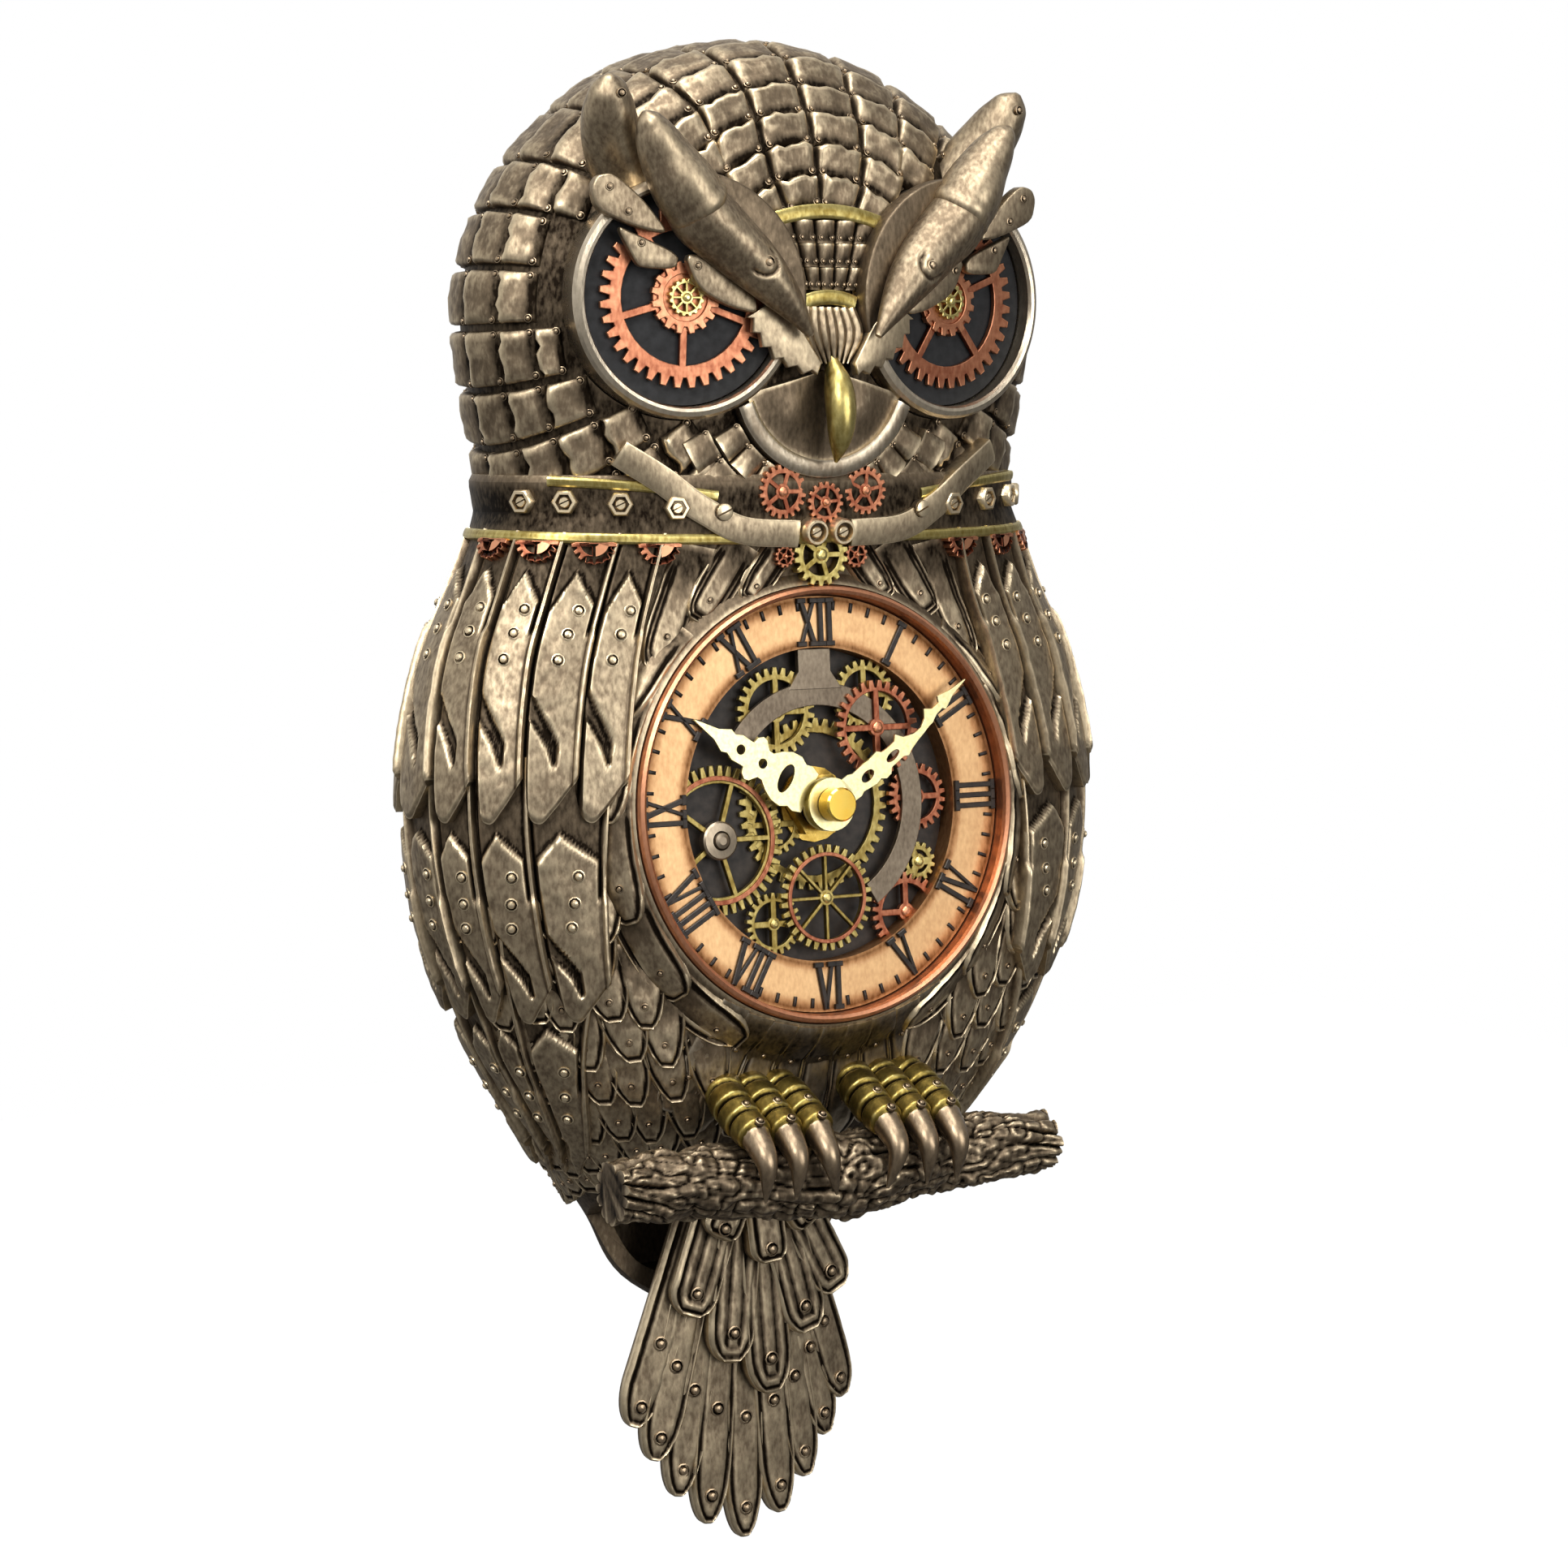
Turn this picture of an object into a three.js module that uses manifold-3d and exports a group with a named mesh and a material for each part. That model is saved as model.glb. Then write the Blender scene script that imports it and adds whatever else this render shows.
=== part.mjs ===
// Owl pendulum wall clock: a cast owl on a branch, a dial in its chest, its tail the pendulum bob.
// Millimetres. The wall is the plane y = 0, the owl looks along -Y and +Z is up.
// The origin is the middle of the hanger plate's rear face. Left and right are the viewer's.
import * as THREE from "three";
import { mergeVertices } from "three/addons/utils/BufferGeometryUtils.js";
import Module from "manifold-3d";

const wasm = await Module();
wasm.setup();

// Fits
const fitGap = 0.3;          // between pieces that seat on or run in each other
const castWall = 5;          // wall of the hollow castings
const cutPast = 3;           // how far a cutting shape reaches past the face it opens
const skinUnder = 2;         // how far a patch starts under the surface that then trims it
const headRows = 9;          // height of one facet row of the head, the torso and their hollows
const torsoRows = 14;
const hollowRows = 22;
const roundFacets = 32;      // facets round a large circle, a middling one and a pin
const discFacets = 16;
const pinFacets = 12;

// Owl form: stations from the top down, each a horizontal section
const headStations = [
  { z: 45, halfWidth: 5, depth: 28 },
  { z: 41, halfWidth: 23, depth: 38 },
  { z: 34, halfWidth: 38.5, depth: 45 },
  { z: 24, halfWidth: 51.5, depth: 51 },
  { z: 12, halfWidth: 62.5, depth: 54.5 },
  { z: 0, halfWidth: 68.5, depth: 56.5 },
  { z: -15, halfWidth: 72, depth: 57 },
  { z: -30, halfWidth: 70.5, depth: 56.5 },
  { z: -45, halfWidth: 67.5, depth: 55.5 },
  { z: -60, halfWidth: 65, depth: 54 },
];
const torsoStations = [
  { z: -60, halfWidth: 65, depth: 54 },
  { z: -78, halfWidth: 72, depth: 52.5 },
  { z: -95, halfWidth: 79, depth: 54 },
  { z: -122, halfWidth: 83.5, depth: 57 },
  { z: -150, halfWidth: 80, depth: 57.5 },
  { z: -175, halfWidth: 70, depth: 55 },
  { z: -192, halfWidth: 59, depth: 50 },
  { z: -207, halfWidth: 48, depth: 40 },
  { z: -222, halfWidth: 36, depth: 26 },
  { z: -238, halfWidth: 25, depth: 16 },
  { z: -251, halfWidth: 4, depth: 10 },
];
const headWaist = 22;        // distance from the wall of the widest line of a head section
const torsoWaist = 26;       // the same for a torso section
const headSquareness = 2.3;  // 2 is an ellipse, more is squarer
const torsoSquareness = 2.5;
const shallowWaist = 0.45;   // most that the widest line's distance may be, as a share of the depth
const tuckTurn = 35;         // degrees past the widest line where a section meets the wall
const headCavityTop = -19;   // the head is solid above this height
const rumpSolidTop = -237;   // the rump is solid below this height
const bellyLipZ = -202;      // front lower edge of the belly
const bellyLipDepth = 46;    // distance from the wall where the opening under the belly starts
const rumpKneeZ = -222;      // below this height only a shallow rim is left
const rumpRimDepth = 10;     // depth of that rim from the wall

// Wings: three tiers of feathers over each side of the torso, turns in degrees from the front
const wingRearTurn = 119;
const wingTiers = [
  { top: -67.5, tip: -126, notch: 15, frontTop: 27, frontTip: 34, feathers: 6, root: 2.4, edge: 4.4 },
  { top: -110, tip: -169, notch: 14, frontTop: 34, frontTip: 45, feathers: 5, root: 2.2, edge: 4 },
  { top: -152, tip: -206, notch: 12, frontTop: 43, frontTip: 64, feathers: 4, root: 2, edge: 3.4 },
];
const wingRows = 3;
// Across one feather: share of its width, rise over the tier's outer face, share of the notch at its foot
const featherProfile = [
  { across: 0, rise: -1.4, notch: 1 },
  { across: 0.14, rise: 0.4, notch: 0.7 },
  { across: 0.5, rise: 0, notch: 0.2 },
  { across: 0.84, rise: 0, notch: 0 },
];

// Plates on the head, set out in degrees round the owl's line of sight from straight up and away from it
const sightZ = -15;          // height of the line of sight
const plateLines = [0, 16, 31, 46, 61, 72, 83, 94, 105, 115];
const plateRows = [21.5, 34.5, 47.5, 63, 77, 92];
const crownLine = 46;        // rows in front of templeAway reach only this far round
const templeAway = 55;
const plateRise = 2;         // how far the tip of a plate stands over the root of the next
const grooveWidth = 2.2;
const ringStep = 11.5;       // degrees round the sight line of one facet of a row

// Eyes
const eyeSpread = 34;        // each eye's distance from the middle plane
const eyeDepth = 54;
const eyeZ = -13.4;
const eyeToe = 9;            // degrees that each eye turns outwards
const eyeDiscRadius = 23.2;
const eyeRingWall = 2.7;
const eyeRingDepth = 8;
const eyeRingProud = 2;
const socketBacking = 3;     // metal left between an eye socket and the hollow of the head
const eyeDiscThickness = 4;
const eyeGearTeeth = 22;
const eyeGearTip = 19.5;
const eyeGearRim = 5.2;      // from tooth tip to the inside of the rim
const eyeHubRadius = 7.5;
const pupilRadius = 3.7;
const pupilProud = 1.6;
const eyeSpokes = 5;
const eyeSpokeWidth = 2.6;
const reliefThickness = 1.3; // eye, dial and throat gears
const reliefRoot = 0.88;     // share of the tip radius at the root of their teeth

// Brows, beak and chin, right side where they are paired
const browPath = [[5, -63, -29, 2], [13, -64.5, -17, 4], [21.5, -64.6, -6.4, 5.5], [31, -62, 3, 6.5],
  [37.3, -60.1, 9.7, 6.2], [43, -59, 18, 4], [47.1, -59.3, 25.6, 0.8]];
const tuftPath = [[36, -50, 5, 6], [43, -54, 15, 6], [48.5, -57.5, 25, 3.6], [52.5, -58.4, 33, 0.7]];
const beakPath = [[0, -58.7, -27, 1.5], [0, -62, -32, 3.3], [0, -63, -39, 3.5], [0, -62, -45, 2.4],
  [0, -60.6, -48.5, 0.6]];
const chinRadius = 15.5;
const chinZ = -36;
const chinTopZ = -34;
const chinThickness = 1.6;

// Collar between head and torso
const collarTopZ = -52;
const collarBottomZ = -66.6;
const collarThickness = 2;
const collarColumns = 26;
const collarRows = 3;
const claspColumns = 12;
const claspTopShare = 0.15;  // where the straps start, down the collar
const claspTurn = 36;        // half the turn that the clasp's two straps cover
const claspHeight = 7;
const claspThickness = 2;
const claspDrop = 6;         // the straps fall by this much towards the middle
const throatGearClear = 0.65; // to the bezel below and the collar above
const throatGearTeeth = 14;

// Dial and what lies in it, in a frame that leans back with the dial
const dialZ = -124.9;
const dialDepth = 55.3;
const dialLean = 4.3;        // degrees
const dialRadius = 46.3;
const chapterWidth = 11.4;   // of the raised ring that carries the numerals
const dialThickness = 6.5;
const dialRecess = 5;
const bezelWall = 2;
const bezelProud = 4.2;
const seatThickness = 4;
const seatRim = 4;
const bridgeInner = 22;
const bridgeOuter = 27.2;
const bridgeFrom = -62;      // degrees from twelve, clockwise
const bridgeTo = 148;
const bridgeStem = 7.2;
const ringGearTip = 19.3;
const ringGearRim = 3.3;
const ringGearThickness = 0.8;
const ringGearTeeth = 32;
const gearSpokeHalf = 0.8;
const gearRimShare = 0.72;   // shares of a dial gear's tip radius: inside of its rim, its hub, its post
const gearHubShare = 0.3;
const gearPostShare = 0.1;
const dialGears = [
  { name: "dial_gear_upper", x: 15.5, y: 16.4, tip: 10.7, teeth: 20, spokes: 4, layer: 2, finish: "copper" },
  { name: "dial_gear_left", x: -25.9, y: -6.7, tip: 17.4, teeth: 32, spokes: 6, layer: 1, finish: "gold" },
  { name: "dial_gear_lower", x: 0.5, y: -20.9, tip: 11.9, teeth: 24, spokes: 8, layer: 2, finish: "copper" },
  { name: "dial_gear_right", x: 26.2, y: -14.4, tip: 4.5, teeth: 12, spokes: 0, layer: 2, finish: "gold" },
];

// Clock movement: sizes along the hand shaft run back from the dial face
const gasketThickness = 1;
const gasketRadius = 16;
const caseWall = 1.5;
const caseMargin = 8;        // from the pendulum's pivot to the top of the case
const bushRadius = 4.9;
const bushBore = 3.4;
const bushEnd = -0.6;
const washerRadius = 8.5;
const washerThickness = 0.8;
const nutAcrossFlats = 13;
const nutThickness = 2.4;
const hourPipeRadius = 2.9;
const arborRadius = 1.5;
const pivotRadius = 0.6;
const wheelThickness = 1.1;
const pinionLength = 1.9;
const wheelGap = 0.9;        // between wheels that run one behind another
const endPlay = 0.8;         // between the first wheel and the inside of the case front
const frictionHub = 3.4;     // radius of the centre wheel's friction clutch
const batteryRadius = 7.25;  // size AA cell
const batteryLength = 50.5;
const batteryNubRadius = 2.7;
const batteryNubLength = 1.4;
const batteryClear = 1.4;    // between the cell and the wheels above it
const bayLip = 0.5;          // the battery bay's edge overlaps the cell by this much
const contactRoom = 3.25;
const contactThickness = 0.6;
const contactHalfHeight = 6;
const contactWidth = 8;
const boardWidth = 18;
const boardHeight = 24;
const boardThickness = 1.2;
const knobRadius = 5.5;
const knobLength = 6;
const knobTeeth = 20;
const knobKnurl = 0.7;
const knobShaft = 1.2;
const handThickness = 0.6;
const handWaist = 1.3;       // half the width of a hand beside its leaf
const hourHandZ = 1.2;
const minuteHandZ = 3.6;
const hourHandLength = 38.5;
const hourHandBoss = 2;      // metal round the hole of a hand
const hourLeafAt = 22;
const hourLeafHalf = 4.6;
const minuteHandLength = 44.9;
const minuteHandBoss = 2.4;
const minuteLeafAt = 28;
const minuteLeafHalf = 3.6;
const hourHandTurn = -58.6;  // ten past ten, degrees from twelve, clockwise
const minuteHandTurn = 54.2;
const capRadius = 3.8;
const capLength = 4;
const capSkin = 1.6;         // closed front of the cap over the shaft's end
const meshSlack = 0.12;      // added to each pair's centre distance, so that teeth run free
const addendum = 0.7;        // tooth height outside and inside the pitch circle, in modules
const dedendum = 1;

// Going train and motion work: teeth and module of each meshing pair
const cannonPair = { pinion: 10, wheel: 30, module: 0.6 };
const hourPair = { pinion: 8, wheel: 32, module: 0.6 };
const thirdPair = { pinion: 6, wheel: 45, module: 0.53 };
const secondPair = { pinion: 6, wheel: 48, module: 0.47 };
const intermediatePair = { pinion: 6, wheel: 36, module: 0.5 };
const rotorPair = { pinion: 6, wheel: 30, module: 0.45 };
const minuteWheelAngle = 20; // direction of each wheel from the one before it, degrees
const knobAngle = 0;
const thirdAngle = 170;
const secondAngle = 60;
const intermediateAngle = 150;
const rotorAngle = 90;
const rotorRadius = 3;
const rotorProud = 1.5;      // rotor magnet beyond each face of the stator
const statorWidth = 24;
const statorShift = 2.3;     // middle of the stator beside the rotor
const statorBelow = 4.9;     // stator's lower edge below the rotor
const statorYoke = 11;
const statorHeight = 22;
const statorLeg = 4;
const statorThickness = 1;
const postRadius = 1.4;
const stepCoilRadius = 4.3;
const driveCoilRadius = 6;
const driveCoilBore = 2.2;
const driveCoilLength = 4;

// Pendulum
const pivotHeight = 44;      // above the hand shaft
const hookHeight = 14;
const leverWidth = 8;
const leverThickness = 1.2;
const pendulumPin = 1.5;
const pinHeadLip = 1.2;      // head of the cover's pin, which keeps the lever on
const pinHeadThickness = 0.9;
const hookRadius = 1;
const hookProud = 0.8;       // hook beyond the rod it carries
const hookPlay = 0.5;        // round the hook in the rod's eye
const magnetRadius = 3.5;
const magnetThickness = 2.5;
const magnetHeight = 26;
const rodWidth = 3;
const rodThickness = 1.2;
const rodEye = 2.6;
const rodInTail = 16;
const tailTopZ = -212;
const tailBack = 18;
const tailLayer = 4;
const tailStep = 3.5;
const featherHalf = 5.2;
const featherRootShare = 0.3; // how far the tail feathers' roots draw together
const featherTaper = 0.7;
const tailLength = 88.5;     // from its top edge to the tip of the longest feather
const tailHalf = 29;         // from the middle to the outermost tip
// Tips of the tail's feathers, layer by layer: share of tailHalf sideways, share of tailLength down
const tailTips = [
  [[0, 1], [0.328, 0.955], [0.621, 0.859], [0.845, 0.751], [1, 0.655]],
  [[0, 0.588], [0.403, 0.452], [0.759, 0.35]],
  [[0, 0.226], [0.31, 0.158]],
];

// Perch and feet, right side where they are paired
const branchPath = [[-57, -61, -205.5, 6.6], [-28, -60, -206, 8], [0, -60, -208, 9.6], [28, -60, -206, 8],
  [57, -61, -205.5, 6.6]];
const branchFacets = 10;
const toes = [{ x: 9, tipX: 6.6 }, { x: 17, tipX: 17.1 }, { x: 25, tipX: 24.9 }];
const ankle = [16, -44, -185, 6.5];
const instepY = -54;
// Points of a toe and its claw: behind the branch's front, above its top, radius
const instep = { above: 8, radius: 5.6 };
const knuckle = { behind: 7, above: 5, radius: 5 };
const toeEnd = { behind: 1, above: 3, radius: 4.2 };
const clawRoot = { behind: 1.5, above: 3, radius: 3.2 };
const clawBend = { behind: -3.2, above: -2, radius: 2.4 };
const clawTip = { behind: -2.6, above: -10.5, radius: 0.5 };

// Hanger plate
const hangerHalfWidth = 12;
const hangerBottom = -12;
const hangerTop = 21;
const hangerThickness = 1.5;
const keyholeZ = 9;
const keyholeRadius = 4.5;
const keySlotZ = 15.5;
const keySlotRadius = 2.5;
const keyPocketDepth = 8;
const keyPocketMargin = 2;
const hangerScrewX = 7.5;
const hangerScrewZ = -6;
const hangerScrewRadius = 1.6;
const hangerScrewLength = 9;

const rad = THREE.MathUtils.degToRad;
const sinLean = Math.sin(rad(dialLean));
const cosLean = Math.cos(rad(dialLean));

// Closed solids

function outward(geometry) {
  const p = geometry.getAttribute("position");
  const index = geometry.getIndex();
  const corner = [new THREE.Vector3(), new THREE.Vector3(), new THREE.Vector3()];
  let volume = 0;
  for (let i = 0; i < index.count; i += 3) {
    corner.forEach((v, k) => v.fromBufferAttribute(p, index.getX(i + k)));
    volume += corner[0].dot(corner[1].cross(corner[2]));
  }
  if (volume > 0) return geometry;
  const turned = Array.from(index.array);
  for (let i = 0; i < turned.length; i += 3) [turned[i], turned[i + 1]] = [turned[i + 1], turned[i]];
  geometry.setIndex(turned);
  return geometry;
}

function solidOf(geometry) {
  const bare = new THREE.BufferGeometry();
  bare.setAttribute("position", geometry.getAttribute("position").clone());
  bare.setIndex(geometry.getIndex() ? geometry.getIndex().clone() : null);
  const merged = outward(mergeVertices(bare, 1e-4));
  return new wasm.Manifold(new wasm.Mesh({
    numProp: 3,
    vertProperties: new Float32Array(merged.getAttribute("position").array),
    triVerts: new Uint32Array(merged.getIndex().array),
  }));
}

function geometryOf(solid) {
  const mesh = solid.getMesh();
  const geometry = new THREE.BufferGeometry();
  geometry.setAttribute("position", new THREE.BufferAttribute(new Float32Array(mesh.vertProperties), 3));
  geometry.setIndex(new THREE.BufferAttribute(new Uint32Array(mesh.triVerts), 1));
  return geometry;
}

const join = (first, ...rest) => rest.reduce((sum, solid) => sum.add(solid), first);
const cut = (first, ...rest) => rest.reduce((sum, solid) => sum.subtract(solid), first);

// A solid of closed rings, each with as many points, with flat ends
function loft(rings) {
  const count = rings[0].length;
  const points = rings.flat();
  const ends = [rings[0], rings[rings.length - 1]];
  ends.forEach((ring) => {
    const middle = new THREE.Vector3();
    ring.forEach((p) => middle.addScaledVector(p, 1 / count));
    points.push(middle);
  });
  const index = [];
  for (let j = 0; j < rings.length - 1; j++) {
    for (let i = 0; i < count; i++) {
      const a = j * count + i;
      const b = j * count + ((i + 1) % count);
      index.push(a, b, b + count, a, b + count, a + count);
    }
  }
  const last = (rings.length - 1) * count;
  const first = rings.length * count;
  for (let i = 0; i < count; i++) {
    const next = (i + 1) % count;
    index.push(first, next, i, first + 1, last + i, last + next);
  }
  const geometry = new THREE.BufferGeometry().setFromPoints(points);
  geometry.setIndex(index);
  return solidOf(geometry);
}

// A tube through hand-placed points [x, y, z, radius]
function taperedTube(path, { grow = 0, steps = 2 * (path.length - 1), sides = 8 } = {}) {
  const curve = new THREE.CatmullRomCurve3(path.map(([x, y, z]) => new THREE.Vector3(x, y, z)));
  const frames = curve.computeFrenetFrames(steps, false);
  const rings = [];
  for (let j = 0; j <= steps; j++) {
    const at = (j / steps) * (path.length - 1);
    const k = Math.min(Math.floor(at), path.length - 2);
    const radius = THREE.MathUtils.lerp(path[k][3], path[k + 1][3], at - k) + grow;
    const middle = curve.getPoint(j / steps);
    const ring = [];
    for (let i = 0; i < sides; i++) {
      const a = (i / sides) * 2 * Math.PI;
      ring.push(middle.clone()
        .addScaledVector(frames.normals[j], radius * Math.cos(a))
        .addScaledVector(frames.binormals[j], radius * Math.sin(a)));
    }
    rings.push(ring);
  }
  return loft(rings);
}

// Plates and turned pieces in a frame whose z runs towards the viewer
function plate(shape, back, front, curveSegments = 8) {
  const sweep = { depth: front - back, bevelEnabled: false, curveSegments };
  const geometry = new THREE.ExtrudeGeometry(shape, sweep);
  return solidOf(geometry.translate(0, 0, back));
}

function turned(profile, segments = roundFacets) {
  const points = [...profile, profile[0]].map(([r, z]) => new THREE.Vector2(r, z));
  return solidOf(new THREE.LatheGeometry(points, segments).rotateX(Math.PI / 2));
}

function disc(radius, back, front, { x = 0, y = 0, facets = discFacets } = {}) {
  const geometry = new THREE.CylinderGeometry(radius, radius, front - back, facets).rotateX(Math.PI / 2);
  return solidOf(geometry.translate(x, y, (front + back) / 2));
}

function tube(outer, inner, back, front, segments = roundFacets) {
  return turned([[inner, back], [outer, back], [outer, front], [inner, front]], segments);
}

function block(x0, x1, y0, y1, z0, z1) {
  const geometry = new THREE.BoxGeometry(x1 - x0, y1 - y0, z1 - z0);
  return solidOf(geometry.translate((x0 + x1) / 2, (y0 + y1) / 2, (z0 + z1) / 2));
}

function polygon(points) {
  return new THREE.Shape(points.map(([x, y]) => new THREE.Vector2(x, y)));
}

function circle(radius, x = 0, y = 0) {
  const path = new THREE.Path();
  path.absarc(x, y, radius, 0, 2 * Math.PI, false);
  return path;
}

// Outline with pointed teeth, one of them at the angle start
function toothed(teeth, root, tip, start = 0) {
  const points = [];
  for (let i = 0; i < 2 * teeth; i++) {
    const a = start + (i * Math.PI) / teeth;
    const r = i % 2 === 0 ? tip : root;
    points.push([r * Math.cos(a), r * Math.sin(a)]);
  }
  return polygon(points);
}

const trainGear = (teeth, module, start) =>
  toothed(teeth, module * (teeth / 2 - dedendum), module * (teeth / 2 + addendum), start);

// Turn of the driven gear, so that one of its gaps meets the driver's tooth
function meshTurn(driverTurn, driverTeeth, drivenTeeth, direction) {
  const step = Math.PI / drivenTeeth;
  return direction + Math.PI + step - (driverTurn - direction) * (driverTeeth / drivenTeeth);
}

// Sections of the owl

function along(stations, key, z) {
  const last = stations.length - 1;
  if (z >= stations[0].z) return stations[0][key];
  if (z <= stations[last].z) return stations[last][key];
  const i = stations.findIndex((s, k) => z <= s.z && z > stations[k + 1].z);
  const slope = (k) => {
    const a = stations[Math.max(k - 1, 0)];
    const b = stations[Math.min(k + 1, last)];
    return (b[key] - a[key]) / (b.z - a.z);
  };
  const h = stations[i + 1].z - stations[i].z;
  const t = (z - stations[i].z) / h;
  const rise = t * t * (3 - 2 * t);
  const bend = (t ** 3 - 2 * t ** 2 + t) * h * slope(i) + (t ** 3 - t ** 2) * h * slope(i + 1);
  return stations[i][key] * (1 - rise) + stations[i + 1][key] * rise + bend;
}

const headForm = { stations: headStations, waist: headWaist, squareness: headSquareness };
const torsoForm = { stations: torsoStations, waist: torsoWaist, squareness: torsoSquareness };
const seamZ = torsoStations[0].z;
const formAt = (z) => (z > seamZ ? headForm : torsoForm);

// Point on a section: turn 0 is the front, 90 the widest line, 90 + tuckTurn the wall
function surfacePoint(form, turn, z, grow = 0) {
  const halfWidth = along(form.stations, "halfWidth", z) + grow;
  const depth = along(form.stations, "depth", z);
  const waist = Math.min(form.waist, shallowWaist * depth);
  const side = Math.sign(turn);
  const t = rad(Math.abs(turn));
  if (t <= Math.PI / 2) {
    const power = 2 / form.squareness;
    const x = halfWidth * Math.sin(t) ** power;
    const y = waist + (depth + grow - waist) * Math.max(Math.cos(t), 0) ** power;
    return new THREE.Vector3(side * x, -y, z);
  }
  const past = t - Math.PI / 2;
  const y = waist * (1 - Math.sin(past) / Math.sin(rad(tuckTurn)));
  return new THREE.Vector3(side * halfWidth * Math.cos(past), -y, z);
}

const sectionTurns = [];
for (let turn = -90; turn <= 90; turn += 15) sectionTurns.push(turn);
[0.5, 1].forEach((share) => {
  sectionTurns.push(90 + share * tuckTurn);
  sectionTurns.unshift(-90 - share * tuckTurn);
});

function section(form, z, grow = 0, backPast = 0) {
  const ring = sectionTurns.map((turn) => surfacePoint(form, turn, z, grow));
  ring[0].y = backPast;
  ring[ring.length - 1].y = backPast;
  return ring;
}

function heights(top, bottom, spacing) {
  const count = Math.ceil((top - bottom) / spacing);
  return Array.from({ length: count + 1 }, (_, i) => top + ((bottom - top) * i) / count);
}

const crownZ = headStations[0].z;
const rumpTipZ = torsoStations[torsoStations.length - 1].z;
const headBody = (grow) => loft(heights(crownZ + grow, seamZ + fitGap / 2 - 2 * grow, headRows)
  .map((z) => section(headForm, z, grow)));
const torsoBody = (grow) => loft(heights(seamZ - fitGap / 2 + 2 * grow, rumpTipZ - grow, torsoRows)
  .map((z) => section(torsoForm, z, grow)));

// A closed patch between two grids of points
function patch(inner, outer) {
  const high = inner.length;
  const wide = inner[0].length;
  const points = [...inner.flat(), ...outer.flat()];
  const index = [];
  const quad = (a, b, c, d) => index.push(a, b, c, a, c, d);
  const at = (side, j, i) => side * high * wide + j * wide + i;
  for (let j = 0; j < high - 1; j++) {
    for (let i = 0; i < wide - 1; i++) {
      quad(at(0, j, i), at(0, j, i + 1), at(0, j + 1, i + 1), at(0, j + 1, i));
      quad(at(1, j, i), at(1, j + 1, i), at(1, j + 1, i + 1), at(1, j, i + 1));
    }
  }
  for (let i = 0; i < wide - 1; i++) {
    quad(at(0, 0, i), at(1, 0, i), at(1, 0, i + 1), at(0, 0, i + 1));
    quad(at(0, high - 1, i + 1), at(1, high - 1, i + 1), at(1, high - 1, i), at(0, high - 1, i));
  }
  for (let j = 0; j < high - 1; j++) {
    quad(at(0, j + 1, 0), at(1, j + 1, 0), at(1, j, 0), at(0, j, 0));
    quad(at(0, j, wide - 1), at(1, j, wide - 1), at(1, j + 1, wide - 1), at(0, j + 1, wide - 1));
  }
  const geometry = new THREE.BufferGeometry().setFromPoints(points);
  geometry.setIndex(index);
  return solidOf(geometry);
}

// A patch that lies on the owl: rows of [turn, z, inner grow, outer grow]
function skin(rows) {
  const place = ([turn, z, ...grows], side) => surfacePoint(formAt(z), turn, z, grows[side]);
  const grid = (side) => rows.map((row) => row.map((point) => place(point, side)));
  return patch(grid(0), grid(1));
}

function insideHead({ x, y, z }) {
  if (z > crownZ) return false;
  const halfWidth = along(headStations, "halfWidth", z);
  const depth = along(headStations, "depth", z);
  const waist = Math.min(headWaist, shallowWaist * depth);
  if (-y > waist) {
    const ahead = (-y - waist) / (depth - waist);
    return (Math.abs(x) / halfWidth) ** headSquareness + ahead ** headSquareness <= 1;
  }
  const past = (1 + y / waist) * Math.sin(rad(tuckTurn));
  return Math.abs(x) <= halfWidth * Math.sqrt(1 - past ** 2);
}

// Point on the head, or raised above it: degrees round the line of sight and away from it
function headPoint(round, away, grow) {
  const sight = new THREE.Vector3(0, 0, sightZ);
  const aside = Math.sin(rad(away));
  const ray = new THREE.Vector3(
    aside * Math.sin(rad(round)),
    -Math.cos(rad(away)),
    aside * Math.cos(rad(round)),
  );
  let near = 0;
  let far = crownZ - sightZ + headStations[0].depth;
  while (far - near > fitGap / 10) {
    const middle = (near + far) / 2;
    if (insideHead(sight.clone().addScaledVector(ray, middle))) near = middle;
    else far = middle;
  }
  return sight.addScaledVector(ray, near + grow);
}

// Scene graph
const owl = new THREE.Group();
const clock = new THREE.Group();
clock.position.set(0, -dialDepth, dialZ);
clock.rotation.x = Math.PI / 2 - rad(dialLean);
owl.add(clock);
clock.updateMatrixWorld(true);

const eyes = [-1, 1].map((side) => {
  const eye = new THREE.Group();
  eye.position.set(side * eyeSpread, -eyeDepth, eyeZ);
  eye.rotation.order = "ZYX";
  eye.rotation.set(Math.PI / 2, 0, side * rad(eyeToe));
  owl.add(eye);
  eye.updateMatrixWorld(true);
  return eye;
});

const placed = (solid, group) => solidOf(geometryOf(solid).applyMatrix4(group.matrixWorld));
const sideName = (side) => (side < 0 ? "left" : "right");
const mirrored = (path, side) => path.map(([x, ...rest]) => [side * x, ...rest]);

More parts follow.
